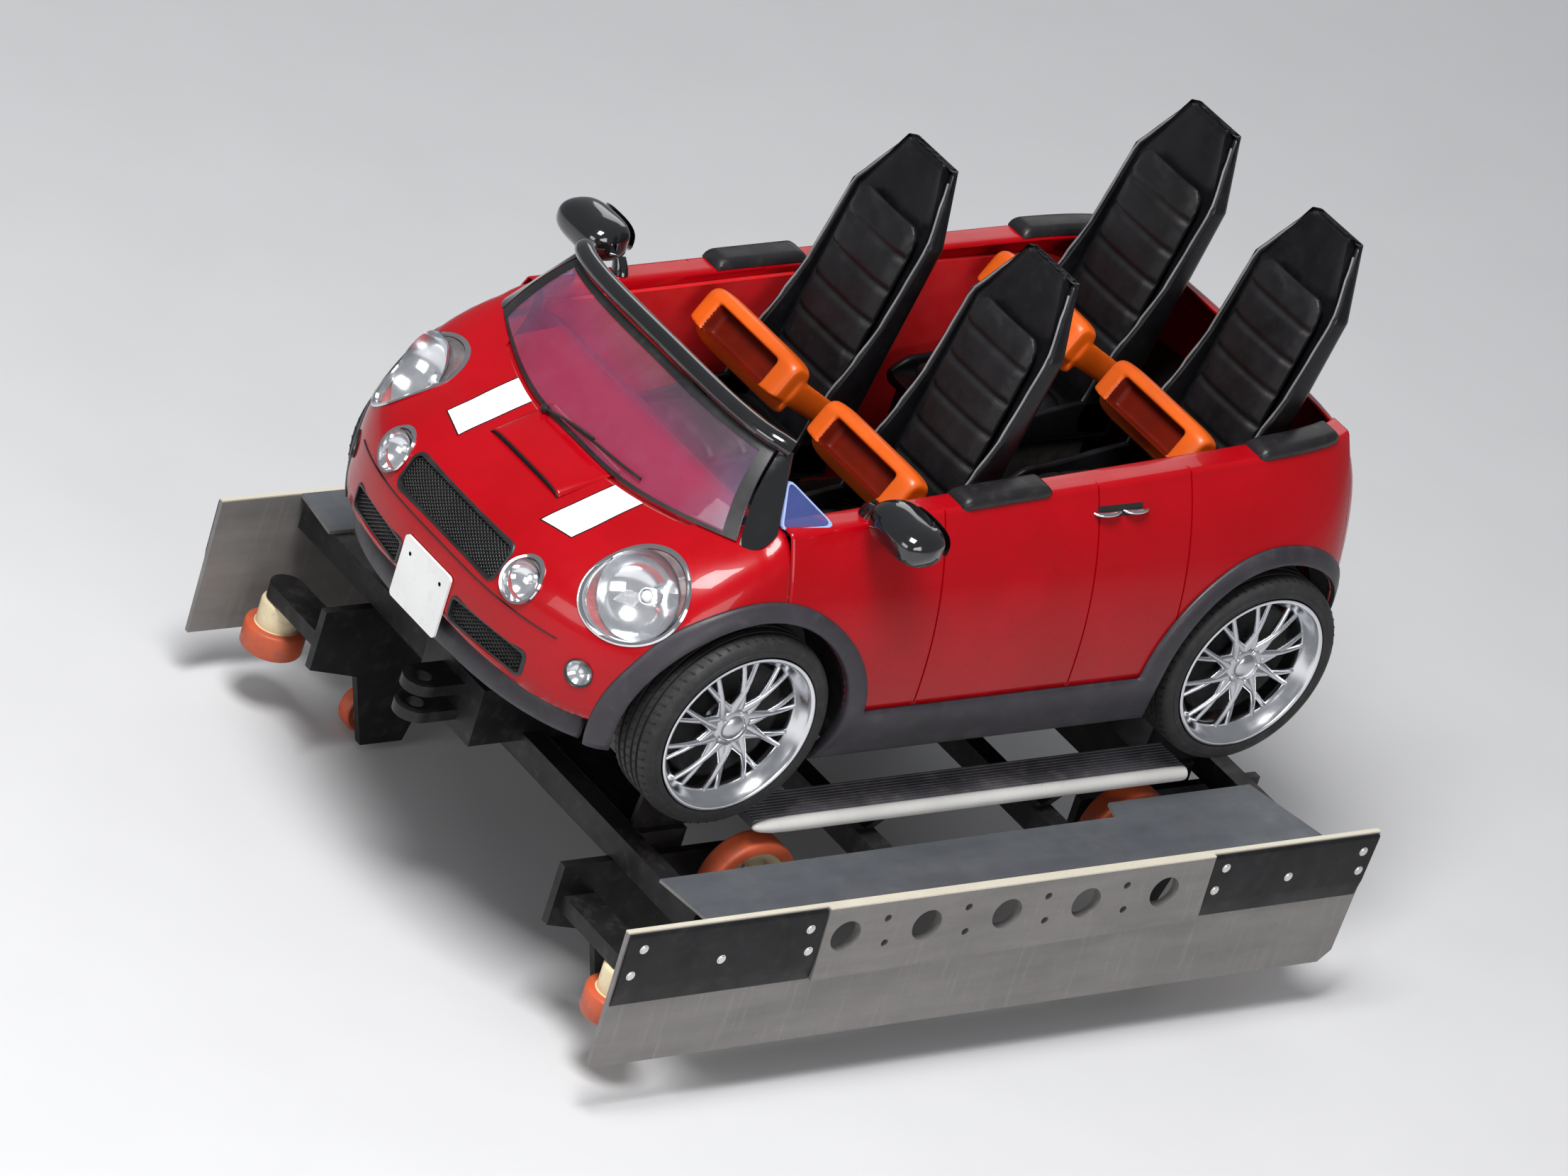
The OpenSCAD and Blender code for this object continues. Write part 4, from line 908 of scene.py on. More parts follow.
degs = [35, 36, 37.5, 39, 41, 44, 47, 51, 55, 60, 66, 72, 78, 84, 90]
degs += [180 - d for d in reversed(degs[:-1])]
ts = [0.02 + 0.95 * s for s in shares(16)]
skin("windscreen_glass", [[on_glass(d, t) for t in ts] for d in degs], "glass", 4, "screen_glass", ("windscreen",))
b = Build()
for t0, t1 in ((0.02, 0.055), (0.90, 0.97)):
    b.grid([[on_glass(d, t, 1.0) for t in (t0, (t0 + t1) / 2, t1)] for d in degs])
for side in (1, -1):
    b.grid([[on_glass(90 + side * (90 - d), t, 1.0) for t in ts] for d in (35, 35.8, 36.6)])
b.make("windscreen_band", "black", slot="screen_glass")


def pillar_ring(t):
    """Closed section of the left pillar a share t of the way from its foot on the fender to the header."""
    def edge(foot, head, lean, d):
        (x, y), (hx, hy) = ((p[0] + d * lean[0], p[1] + d * lean[1]) for p in (foot, head))
        return between((x, y, over_z(x, y) + 0.7), (hx, hy, head[2]), t)
    sides = []
    for d in (0, 1):
        rear = edge((656, BODY_HALF - 108), (600, 396, 552), (5, -14), d)
        mid = edge((702, BODY_HALF - 103), (614, 402, 556), (-8, -13), d)
        x, y, z = on_glass(35, t)
        x, y = x - 4 - 12 * d, y + 6 + 3 * d
        front = (x, y, z if t else over_z(x, y) + 0.7)
        pull = [2 * m - (a + c) / 2 for a, m, c in zip(rear, mid, front)]
        sides.append([bend(rear, pull, front, u) for u in shares(8)])
    return sides[0] + list(reversed(sides[1]))


b = Build()
head = [(x - 4, y, z + 16) for x, y, z in (screen_head(d) for d in degs)]
b.tube([(608, 396, 562)] + head + [(608, -396, 562)], (23, 19), 0, 20)
for left in (True, False):
    b.grid([[mirrored(p, left) for p in pillar_ring(t)] for t in shares(16)], 0, wrap_cols=True, caps=True)
bevel(b.make("screen_surround", "gloss", slot="trim_dark", replaces=("screen_frame",)), 2.5)

# Small fixed windows in front of the doors: a rounded triangle with a pale rim
tri = [(650, 486, 423), (523, 504, 433), (612, 416, 507)]
pane = []
for k, p in enumerate(tri):
    pane += [bend(between(p, tri[k - 1], 0.16), p, between(p, tri[(k + 1) % 3], 0.16), u) for u in shares(4)]
mid = [sum(axis) / len(pane) for axis in zip(*pane)]
rings = [pane, [between(mid, p, 0.90) for p in pane]]
rings += [[(x, y - 6, z - 3) for x, y, z in ring] for ring in reversed(rings)]
b = Build()
b.grid(rings, 0, wrap_cols=True, wrap_rows=True)
b.face([between(p, q, 0.5) for p, q in zip(rings[1], rings[2])], 1)
b.both().make("quarter_windows", ["pane_rim", "quarter"], slot="screen_glass", smooth=False)

# Painted shelf under the glass, from the dashboard to the bonnet's rear edge
rows = []
for s in shares(40):
    th = radians(mix(39, 141, s))
    x, y, z = on_body(screen_base(th) + 5, th)
    rows.append([between((COWL_X - 10, y * 0.97, 389.5), (x, y, z - 4.0), f) for f in shares(4)])
b = Build()
b.grid(rows)
b.make("cowl_shelf", "paint", slot="body_red")

b = Build()
arm = ((112, 0.03), (104, 0.07), (96, 0.10), (88, 0.125), (80, 0.14))
b.tube([on_glass(d, t, 9) for d, t in arm], (4, 2.5), 0, 8)
blade = ((100, 0.085), (92, 0.095), (82, 0.115), (72, 0.13), (62, 0.135), (54, 0.13))
b.tube([on_glass(d, t, 5) for d, t in blade], (3, 4), 0, 8)
b.lathe([(0.01, -3), (9, -3), (9, 8), (6, 12), (0.01, 12)], on_glass(112, 0.02, 4), (0.5, 0, 1), 0, 20, False)
b.make("wiper", "black", slot="trim_dark")


# Dark trims, arch liners and lips


def wall_y(x, z):
    """Half width of the body's outside at a place along the car and a height."""
    if z > WAIST_Z and x > COWL_X:
        return on_body(x, angle_at(x, z))[1]
    return side_y(x, z)


def arch_point(a, r):
    return (AXLE_X + r * cos(radians(a)), r * sin(radians(a)))


def trim_reach(a):
    return ARCH_R + 40 + 18 * ease((a - 120) / 60)


SILL_LOW, LINER_Y = -115, 446
half = [(arch_point(a, ARCH_R), arch_point(a, trim_reach(a))) for a in list(range(-14, 176, 4)) + [176]]
for k in (0.12, 0.25, 0.38, 0.5, 0.62, 0.75, 0.88, 1.0):
    a = mix(180, 180 + degrees(asin(-SILL_LOW / ARCH_R)), k)
    half.append((arch_point(a, ARCH_R), (AXLE_X - trim_reach(180) - 40 * k, SILL_Z)))
half += [((x, SILL_LOW), (x, SILL_Z)) for x in (290, 240, 180, 120, 60, 5)]
stations = half + [((-p[0], p[1]), (-q[0], q[1])) for p, q in reversed(half)]
PROFILE = [(0, -14), (0, 4), (0.015, 9), (0.05, 13), (0.12, 15), (0.3, 15), (0.5, 14.6), (0.68, 13), (0.85, 10.5),
           (0.94, 8), (0.985, 5), (1, 1)]
for left in (True, False):
    rows = []
    for p, q in stations:
        points = [(between(p, q, f), proud) for f, proud in PROFILE]
        rows.append([mirrored((x, wall_y(x, z) + proud, z), left) for (x, z), proud in points])
    name = left_right(left)
    skin("trim_" + name, rows, "trim", 3, "trim_dark", ("cladding_" + name,))

b = Build()
for s in (1, -1):
    rows = []
    for t in shares(52):
        x, z = arch_point(mix(-13, 193, t), ARCH_R + 2)
        outer = wall_y(s * x, z) - 4
        rows.append([(s * x, mix(LINER_Y, outer, f), z) for f in (0, 0.33, 0.66, 1)])
    b.grid(rows)
b.both().make("arch_liners", "steel", slot="trim_dark")


def lip(name, tip, start_from, start, sign):
    """Dark lip under a bumper, rolled round a section of (height, distance inward) points."""
    section = [(BUMPER_Z, 20), (BUMPER_Z, 10), (-31, 4), (-40, 0.5), (-54, 0), (-68, 0.5), (-77, 4), (-83, 11),
               (-85, 22)]

    def point(x, z, d, side):
        t = clamp01((x - start_from) / (tip - start_from))
        px = sign * (x - d * t ** 6)
        py = max(0.0, BODY_HALF * 0.94 * end_curve(t, 5, 2.5) - d)
        return (px, side * py, under_z(px, py) - 1.0 if z == BUMPER_Z else z)
    marks = [1 - (1 - s) ** 1.9 for s in shares(26)]
    marks[-1] = 0.997
    xs = [mix(start, tip, m) for m in marks]
    rows = [[point(x, z, d, 1) for z, d in section] for x in xs]
    rows += [[point(x, z, d, -1) for z, d in section] for x in reversed(xs)]
    skin(name + "_skin", rows, "trim", 4, "trim_dark", (name,))


lip("lip_front", NOSE_X - 24, FRONT_START, AXLE_X + ARCH_R + 22, 1)
lip("lip_rear", TAIL_X - 16, REAR_START, AXLE_X + ARCH_R + 22, -1)

# Shelf that closes the tail's hollow behind the rear seats, level with the top of the tub's rear wall
SHELF_Z, SHELF_FRONT, SHELF_REAR = 247.0, -873.0, -1032.0
rows = []
for x in (mix(SHELF_FRONT, SHELF_REAR, s) for s in shares(24)):
    reach = wall_y(x, SHELF_Z) - 10
    rows.append([(x, mix(-reach, reach, s), SHELF_Z) for s in shares(24)])
skin("rear_shelf", rows, "black", 4, "trim_dark")


# Door handles with near-black sheets behind them, painted shade of their recesses
HANDLE_Z = 411
b = Build()
for x0, x1 in ((-303, -236), (-228, -156)):
    path, sizes = [], []
    for s in shares(12):
        x, swell = mix(x0, x1, s), max(0.0, sin(pi * s)) ** 0.5
        path.append((x, side_y(x, HANDLE_Z) + 1 + 11 * swell, HANDLE_Z))
        sizes.append((2.5 + 5.5 * swell, 2 + 3 * swell))
    b.tube(path, sizes, 0, 14)
xs = [mix(-291, -168, s) for s in shares(10)]
b.grid([[(x, side_y(x, z) + 0.6, z) for z in (HANDLE_Z + d for d in (-11, -5, 0, 5, 11))] for x in xs], 1)
b.both().make("door_handles", ["chrome", "slot"], slot="rim_silver")


# Frames and screws of the blank number plates
b = Build()
for x, cz, w, h, r, s in ((1121.0, 22, 176, 150, 10, 1), (-1057.0, 62, 250, 110, 8, -1)):
    outer = rounded_outline(0, cz, w - 1, h - 1, r)
    inner = rounded_outline(0, cz, w - 12, h - 12, max(3, r - 5))
    rings = ((outer, -1.2), (outer, -0.05), (inner, -0.05), (inner, -1.2))
    b.grid([[(x + s * dx, y, z) for y, z in ring] for ring, dx in rings], 0, wrap_cols=True)
    for y in (-w * 0.33, w * 0.33):
        b.bolt((x - s * 3.0, y, cz + h * 0.28), (s, 0, 0), 6, 3, 1, 20)
b.make("plate_frames", ["black", "bolt"], slot="plate_white")


# Road wheels


def placed(b, centre, left, axis_y=True):
    """Turns points drawn round Z into place, with their outer end outward."""
    out = Build()
    turned = [(x, z, -y) if axis_y else (x, y, z) for x, y, z in b.v]
    out.add([[v + c for v, c in zip(p, centre)] for p in turned], b.f)
    out.m = list(b.m)
    return out.flip(left)


RIM_R, TYRE_R, TYRE_W, FACE_Y = 187.5, 230.0, 136.0, 599.0


def rim_shape():
    b = Build()
    r, w = RIM_R, TYRE_W
    b.spin([(r - 15, 8 - w), (r - 1, 3 - w), (r - 1, 10 - w), (r - 12, 22 - w), (r - 12, -22), (r - 4, -10),
            (r - 0.5, -4), (r - 1, -1), (r - 4, 0), (r - 8, -1), (r - 11, -4), (r - 15, -11), (r - 21, -21),
            (r - 27, -29), (r - 31, -33), (r - 33, -38), (r - 32, -48), (r - 24, -70), (r - 19, 14 - w)], 0, 96)
    # Crossed pairs of spokes, one of each pair a little behind the other
    widths = [(14, 9), (11.5, 9), (9, 8.5), (7.4, 8), (6.6, 7.5), (6.2, 7), (6.2, 7)]
    for a in turns(10):
        for s in (-1, 1):
            end, back = a + s * radians(24), 1.5 * (s > 0)
            p0 = Vector((38 * cos(a), 38 * sin(a), -36 - back))
            p1 = Vector(((r - 27) * cos(end), (r - 27) * sin(end), -37 - back))
            b.tube([p0.lerp(p1, t) + Vector((0, 0, 7 * sin(pi * t))) for t in shares(6)], widths, 1, 12)
    b.spin([(0.01, -80), (38, -80), (42, -70), (50, -48), (52, -38), (48, -30), (40, -26), (31, -25), (29.5, -27),
            (28, -27), (27, -22), (21, -18), (8, -16), (0.01, -15.5)], 1, closed=False)
    b.bolt_ring(5, 37, -27, 1, 4.5, 7, 0.5)
    # Brake drum behind the spokes
    b.spin([(50, -74), (138, -74), (141, -70), (141, -62), (137, -60), (128, -60), (124, -63), (52, -63)], 3, 72)
    return b


def tyre_shape():
    b = Build()
    r, w, q = TYRE_R, TYRE_W, RIM_R + 0.8
    side = [(q, -6), (q + 2, -1.5), (q + 7, -0.3), (q + 10, -1), (q + 14, -0.6), (q + 15, -1.8), (r - 22, -1.2),
            (r - 14, -3), (r - 9, -6), (r - 5, -11), (r - 2.5, -17), (r - 1, -24)]
    tread = []
    for c in (-36, -56, -80, -100):
        tread += [(r - 0.3, c + 4), (r - 5.5, c + 3), (r - 5.5, c - 3), (r - 0.3, c - 4)]
    b.spin(side + tread + [(p, -w - z) for p, z in reversed(side)], 0, 120)
    # Slanting cuts across the ribs, drawn as near-black faces on the tread, painted shade; at the shoulders they start
    # lower
    wide, slant = 0.012, 0.03
    for a in turns(64):
        for z0, z1, r0, r1 in ((-12, -30, r - 2.8, r - 0.2), (-42, -52, r, r), (-62, -76, r, r), (-84, -96, r, r),
                               (-106, -124, r - 0.2, r - 2.8)):
            corners = ((a - wide, z0, r0), (a + wide, z0, r0), (a + slant + wide, z1, r1), (a + slant - wide, z1, r1))
            b.face([(p * cos(t), p * sin(t), z) for t, z, p in corners], 1)
    return b


rim_b, tyre_b = rim_shape(), tyre_shape()
for c in CORNERS:
    spot, left, wheel = (AXLE_X if c[0] == "f" else -AXLE_X, FACE_Y, 0), c[1] == "l", "road_wheel_" + c
    placed(rim_b, spot, left).make("wheel_rim_" + c, ["silver", "spoke", "bolt", "steel"], body=wheel,
                                   slot="rim_silver", replaces=("rim_" + c,))
    placed(tyre_b, spot, left).make("wheel_tyre_" + c, ["tyre", "slot"], body=wheel, slot="tyre_black",
                                    replaces=("tyre_" + c,))


# Rolling wheels of the carriers: a worn tread, a painted hub and bolts


def run_shape():
    b = Build()
    b.spin([(72, -24), (84, -30), (103, -30), (107, -28), (109.5, -24), (110, -18), (110, 18), (109.5, 24), (107, 28),
            (103, 30), (84, 30), (82, 24), (82, -24)], 0, 72)
    b.spin([(18.1, -34), (36, -34), (39, -22), (60, -14), (72, -18), (82, -26), (82, 26), (76, 22), (72, 17), (60, 14),
            (39, 22), (36, 34), (18.1, 34)], 1)
    b.bolt_ring(6, 54, 15.5, 1, 6, 5)
    return b


def guide_shape():
    b = Build()
    b.spin([(50, -30), (64, -30), (68, -28), (70, -24), (70, 24), (68, 28), (64, 30), (50, 30)])
    b.spin([(15.1, -32), (50, -32), (51, -30), (51, 30), (48, 31), (48, 84), (46, 89), (42, 92), (15.1, 92)], 1)
    b.bolt_ring(6, 33, -31.5, -1, 4.5, 3)
    return b


def upstop_shape():
    b = Build()
    b.spin([(38, -18), (50, -20), (53, -18), (55, -14), (55, 14), (53, 18), (50, 20), (38, 18)], 0, 56)
    b.spin([(14.1, -24), (26, -24), (28, -18), (38, -14), (38, 14), (28, 18), (26, 24), (14.1, 24)], 1, 48)
    return b


# Shape, place on the left of the front axle, and whether the axle lies across the car
RUN_Z, RAIL_Z, RAIL_Y = -411.0, -581.0, 560.0
GUIDE_Y, UPSTOP_Z = 693.0, -700.0
shapes = {"run_wheel": (run_shape(), (513, RAIL_Y, RUN_Z), True),
          "guide_wheel": (guide_shape(), (880, GUIDE_Y, RAIL_Z), False),
          "upstop_wheel": (upstop_shape(), (AXLE_X, RAIL_Y, UPSTOP_Z), True)}
for kind, (shape, (x, y, z), axis_y) in shapes.items():
    for c in CORNERS:
        name = kind + "_" + c
        placed(shape, (x if c[0] == "f" else -x, y, z), c[1] == "l", axis_y).make(
            name + "_dressed", ["worn_red", "cream", "bolt"], body=name, slot="tread_red", replaces=(name,))


# Seats
RECLINE = radians(13)
SEAT_Y, SEAT_W, SEAT_LEN, BACK_T, BACK_LEN = 226.0, 150.0, 400.0, 40.0, 655.0
HINGE = (-85.0, 15.0)


def seat_origin(c):
    row = 0 if c[0] == "f" else 1
    return (65.0 - 770.0 * row, SEAT_Y, 215.0 + 35.0 * row)


def leaned(q, y, p):
    """Point on a backrest: forward of its front face, across, and up along it."""
    return (q * cos(RECLINE) - p * sin(RECLINE), y, q * sin(RECLINE) + p * cos(RECLINE))


def wing(p):
    """How far the side of a backrest reaches forward at a height along it."""
    pts = [(-70, 74), (-40, 90), (40, 84), (120, 72), (200, 48), (300, 26), (400, 19), (485, 14), (560, 2), (620, -10),
           (BACK_LEN, -18)]
    for (a, fa), (b_, fb) in zip(pts, pts[1:]):
        if p <= b_:
            return mix(fa, fb, ease((p - a) / (b_ - a)))


def half_width(p):
    return SEAT_W if p < 500 else mix(SEAT_W, 84, (p - 500) / 155)


def back_section(p, inset):
    """Closed U-shaped section of the backrest shell at a height along it."""
    w, f, r = half_width(p) - inset, wing(p) - inset, 26.0
    outer = [(-BACK_T + inset, 0.0)]
    outer += [(-BACK_T + inset + r - r * sin(a), -w + r - r * cos(a)) for a in (pi / 2 * s for s in shares(6)[::-1])]
    tip = [(f - 7 + 8 * sin(a), -w + 9 - 9 * cos(a)) for a in (pi * s for s in shares(6))]
    inner = [(8 - inset, -w + 18), (3 - inset, -w + 20), (-inset, -w + 26)]
    inner += [(-inset - 2 * cos(pi * t / 2), mix(-w + 26, 0, t)) for t in (0.3, 0.65, 1.0)]
    half = outer + tip + inner
    return half + [(q, -y) for q, y in reversed(half)][1:-1]


def seat_part(o, q, y, p):
    """Point of a leaning backrest in the car."""
    return tuple(a + b for a, b in zip(o, leaned(q, y, p)))


def pan_section(x):
    """Closed section of the seat pan, with raised sides and a rounded front."""
    h = mix(20, -18, ease((x - 60) / 280)) if x < 340 else mix(-18, -46, ease((x - 340) / 60))
    inset = 8 * (1 - sqrt(max(0.0, 1 - (max(0.0, x - SEAT_LEN + 12) / 12) ** 2)))
    w, low = SEAT_W - inset, -83.0 + inset
    upper = [(-w + 9 - 9 * cos(a), h - 7 + 7 * sin(a)) for a in (pi * s for s in shares(6))]
    upper += [(-w + 18, -42), (-w + 22, -50), (-w + 32, -55.1), (0, -55.1)]
    upper += [(-y, z) for y, z in reversed(upper[:-1])]
    under = [(w - 20 + 20 * cos(a), low + 20 - 20 * sin(a)) for a in (pi / 2 * s for s in shares(5))]
    return upper + under + [(0, low)] + [(-y, z) for y, z in reversed(under)]


def seat_shell(c):
    o = seat_origin(c)
    b = Build()
    ps = [-70, -40, 0, 40, 80, 120, 160, 200, 250, 300, 350, 400, 440, 470, 490, 500, 510, 530, 560, 590, 620, 640, 648]
    rings = [(p, 0.0) for p in ps] + [(652, 2.0), (654.3, 5.0), (BACK_LEN, 9.0)]
    b.grid([[seat_part(o, q, y, p) for q, y in back_section(p, inset)] for p, inset in rings],
           0, wrap_cols=True, caps=True)
    xs = [mix(-12, SEAT_LEN, s) for s in shares(22)]
    b.grid([[(o[0] + x, o[1] + y, o[2] + z) for y, z in pan_section(x)] for x in xs], 0, wrap_cols=True, caps=True)
    # Tube that the lap bar turns on, with its brackets
    hx, hz = o[0] + HINGE[0], o[2] + HINGE[1]
    b.lathe([(0.01, -174), (11, -174), (11, 174), (0.01, 174)], (hx, o[1], hz), (0, 1, 0), 1, 32, False)
    b.lathe([(11, -146), (19, -146), (19, 146), (11, 146)], (hx, o[1], hz), (0, 1, 0), 1, 32, False)
    for s in (-1, 1):
        b.grid([[(hx + x, o[1] + s * y, hz + z) for x, z in ((-8, -14), (-8, 14), (55, 45), (55, -55))]
                for y in (90, 110)], 1, wrap_cols=True, caps=True)
        b.bolt((hx, o[1] + s * 174, hz), (0, s, 0), 9, 4, 3)
        # Piping along the wing's edge
        b.tube([seat_part(o, wing(p) + 0.6, s * (half_width(p) - 9), p) for p in range(-20, 646, 24)],
               2.6, 2, 8, up=(0, 1, 0))
    b.flip(c[1] == "l").make("seat_shell_" + c, ["shell", "steel", "piping", "bolt"], slot="seat_shell",
                             replaces=("seat_" + c,))


for c in CORNERS:
    seat_shell(c)

SWELL_LIMIT, CHANNEL_HALF, CHANNEL_DEEP = 0.006, 0.012, 0.006


def swell(obj):
    """Lets the cushion's cover stretch under pressure, by no more than the limit."""
    modify(obj, "REMESH", mode="VOXEL", voxel_size=0.006)
    keep_evaluated(obj)
    rest = [v.co.copy() for v in obj.data.vertices]
    st = modify(obj, "CLOTH").settings
    st.use_pressure, st.uniform_pressure_force, st.quality = True, 4.0, 5
    st.effector_weights.gravity = 0.0
    st.tension_stiffness = st.compression_stiffness = 15
    for f in range(1, 21):
        bpy.context.scene.frame_set(f)
    keep_evaluated(obj)
    for v, p in zip(obj.data.vertices, rest):
        d = v.co - p
        if d.length > SWELL_LIMIT:
            v.co = p + d.normalized() * SWELL_LIMIT
    bpy.context.scene.frame_set(1)


def cushion(name, size, crown, pinch, channels):
    """Crowned closed form in metres whose sides pull in between its corners, with sewn channels across it."""
    bm = bmesh.new()
    bmesh.ops.create_cube(bm, size=1.0)
    bmesh.ops.subdivide_edges(bm, edges=bm.edges[:], cuts=3, use_grid_fill=True)
    for v in bm.verts:
        u, w, h = v.co * 2
        g = 1 - 1.2 * max(0.0, abs(u) - 0.5, abs(w) - 0.5) ** 2
        top = crown * (1 - u * u) * (1 - w * w) if h > 0 else 0.0
        v.co = Vector((u * size[0] / 2 * (1 - pinch * (1 - w * w)), w * size[1] / 2 * (1 - pinch * (1 - u * u)),
                       h * size[2] / 2 * g + top))
    me = bpy.data.meshes.new(name)
    bm.to_mesh(me)
    bm.free()
    obj = linked(name, me)
    modify(obj, "SUBSURF", levels=3, render_levels=3)
    keep_evaluated(obj)
    swell(obj)
    for v in obj.data.vertices:
        near = [abs(v.co.x - ch) for ch in channels if abs(v.co.x - ch) < CHANNEL_HALF]
        if near and v.co.z > 0:
            v.co.z -= CHANNEL_DEEP * (1 - ease(near[0] / CHANNEL_HALF)) * min(1.0, v.co.z / (size[2] * 0.3))
    modify(obj, "SUBSURF", levels=1, render_levels=1)
    keep_evaluated(obj)
    return obj


def pad_copy(base, name, place):
    me = base.data.copy()
    for v in me.vertices:
        v.co = place(v.co * 1000)
    me.materials.clear()
    me.materials.append(MAT["leather"])
    me.polygons.foreach_set("use_smooth", [True] * len(me.polygons))
    obj = linked(name, me)
    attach(obj, "car")
    return obj


base_seat = cushion("cushion_base", (0.352, 0.240, 0.040), 0.006, 0.02, (-0.09, 0.0, 0.09))
base_back = cushion("back_base", (0.480, 0.236, 0.022), 0.004, 0.02, (-0.16, -0.08, 0.0, 0.08, 0.16))
for c in CORNERS:
    o, left = seat_origin(c), c[1] == "l"

    def on_pan(v):
        return at(*mirrored((o[0] + 196 + v.x, o[1] + v.y, o[2] - 30 + v.z), left))

    def on_back(v):
        return at(*mirrored(seat_part(o, 18 + v.z, v.y, 285 + v.x), left))
    pad_copy(base_seat, "seat_cushion_" + c, on_pan)
    pad_copy(base_back, "back_cushion_" + c, on_back)
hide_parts("seat_pads")
for base in (base_seat, base_back):
    bpy.data.objects.remove(base)


# Lap bars
BAR_REACH, BAR_ANGLE, ARM_Y, TRAY_DEEP = 300.0, radians(31), 162, 34.0


def board_section():
    """Closed outline of the bar's board, along the arm and above it, with rounded corners."""
    flat, r = 36, 26.5
    quarter = [pi / 2 * s for s in shares(9)]
    ring = [(10 + r, mix(-flat, flat, s)) for s in shares(18)]
    ring += [(10 + r * cos(t), flat + r * sin(t)) for t in quarter[1:]]
    ring += [(mix(10, -10, j / 3), flat + r) for j in (1, 2)]
    ring += [(-10 - r * sin(t), flat + r * cos(t)) for t in quarter]
    ring += [(-10 - r, mix(flat, -flat, j / 4)) for j in (1, 2, 3)]
    return ring + [(r * sin(t) - 10 - r, -flat - r * cos(t)) for t in quarter[1:]]


def lap_bar(c):
    o, left = seat_origin(c), c[1] == "l"
    hx, hz = o[0] + HINGE[0], o[2] + HINGE[1]
    ux, uz = cos(BAR_ANGLE), sin(BAR_ANGLE)

    def local(a, n, y):
        """Along the arm, above it, and across."""
        return (hx + a * ux - n * uz, o[1] + y, hz + a * uz + n * ux)
    b = Build()
    # Rounded board with a deep tray in its front face
    section = board_section()
    rows = []
    for s in (-cos(pi * t) for t in shares(88)):
        e = mix(0.60, 1.0, (1 - abs(s) ** 8) ** 0.5)
        row = []
        for a0, n0 in section:
            a, n = a0 * e, n0 * mix(0.86, 1.0, e) * (0.5 + 0.5 * e)
            if a0 > 36:
                a -= TRAY_DEEP * ease((0.70 - abs(s)) / 0.075) * ease((36 - abs(n + 1)) / 9)
            row.append(local(BAR_REACH + a, n, 166 * s))
        rows.append(row)
    b.grid(rows, 0, wrap_cols=True, caps=True)
    arm = ((0, 27), (30, 28), (70, 28), (120, 29.5), (180, 31), (230, 32), (270, 33), (290, 33))
    boss = [(0.01, -8.5), (25, -8.5), (28, -5.5), (28, 5.5), (25, 8.5), (0.01, 8.5)]
    for y in (-ARM_Y, ARM_Y):
        b.tube([local(a, 0, y) for a, _ in arm], [(9, high) for _, high in arm], 0, 28)
        b.lathe(boss, local(0, 0, y), (0, 1, 0), 0, 48, False)
    obj = b.flip(left).make("lap_bar_foam_" + c, ["orange", "tray"], body="lap_bar_" + c, slot="lap_bar_orange",
                            replaces=("lap_bar_" + c,))
    modify(obj, "REMESH", mode="VOXEL", voxel_size=0.0036, use_smooth_shade=True)
    modify(obj, "SMOOTH", factor=0.5, iterations=3)
    keep_evaluated(obj)
    hinge, along = Vector(at(hx, 0, hz)), Vector((ux, 0, uz))
    for p in obj.data.polygons:
        p.use_smooth = True
        d = (p.center - hinge) * 1000
        reach, rise, side = d.dot(along), d.x * -uz + d.z * ux, abs(abs(p.center.y) * 1000 - abs(o[1]))
        # Faces inside the tray take the darker orange, painted shade
        p.material_index = int(BAR_REACH < reach < BAR_REACH + 31 and abs(rise) < 37 and side < 122)
    b = Build()
    for s in (-1, 1):
        y = s * ARM_Y
        b.lathe([(12, 7.6), (20, 7.6), (21, 9.5), (18, 11.5), (12, 11.5)], local(0, 0, y), (0, s, 0), 0, 32)
        b.lathe([(0.01, 7.6), (6, 7.6), (6, 9.6), (0.01, 9.6)], local(150, 0, y), (0, s, 0), 1, 20, False)
    b.flip(left).make("lap_bar_collars_" + c, ["steel", "bolt"], body="lap_bar_" + c, slot="frame_black")


for c in CORNERS:
    lap_bar(c)


# Mirrors


def power(v, p):
    return copysign(abs(v) ** p, v)


mx, my, mz, oval = 424, 604, 470, 3.2
rows = []
for s in (-1 + 2 * t for t in shares(20)):
    e = max(0.0, 1 - abs(s) ** oval) ** (1 / oval)
    ring = []
    for t in turns(40):
        forward, up = cos(t), sin(t)
        dx = power(forward, 0.75) * (60 if forward > 0 else 62) * e
        dz = power(up, 0.75) * mix(50, 44, (s + 1) / 2) * e * (1 - 0.12 * max(0.0, forward))
        ring.append((mx + (max(dx, -58 * max(e, 0.2)) if forward < 0 else dx), my + 88 * s, mz + dz))
    rows.append(ring)
b = Build()
b.grid(rows, 0, wrap_cols=True, caps=True)
b.face([(mx - 62.5, my + 70 * power(cos(t), 0.7), mz + 34 * power(sin(t), 0.7)) for t in turns(36)], 1)
foot_z = belt_z(mx)
foot_y = side_y(mx, foot_z) - 26
stalk = [(mx + 2, foot_y, foot_z - 2), (mx + 2, foot_y + 2, foot_z + 10), (mx + 2, foot_y + 12, foot_z + 24),
         (mx, foot_y + 34, foot_z + 34), (mx, my - 60, mz - 16)]
b.tube(stalk, [(19, 24), (16, 21), (14, 17), (14, 14), (13, 13)], 0, 20, up=(0, 1, 0.2))
b.both().make("door_mirrors", ["gloss", "mirror"], slot="mirror_shell", replaces=("mirrors",))


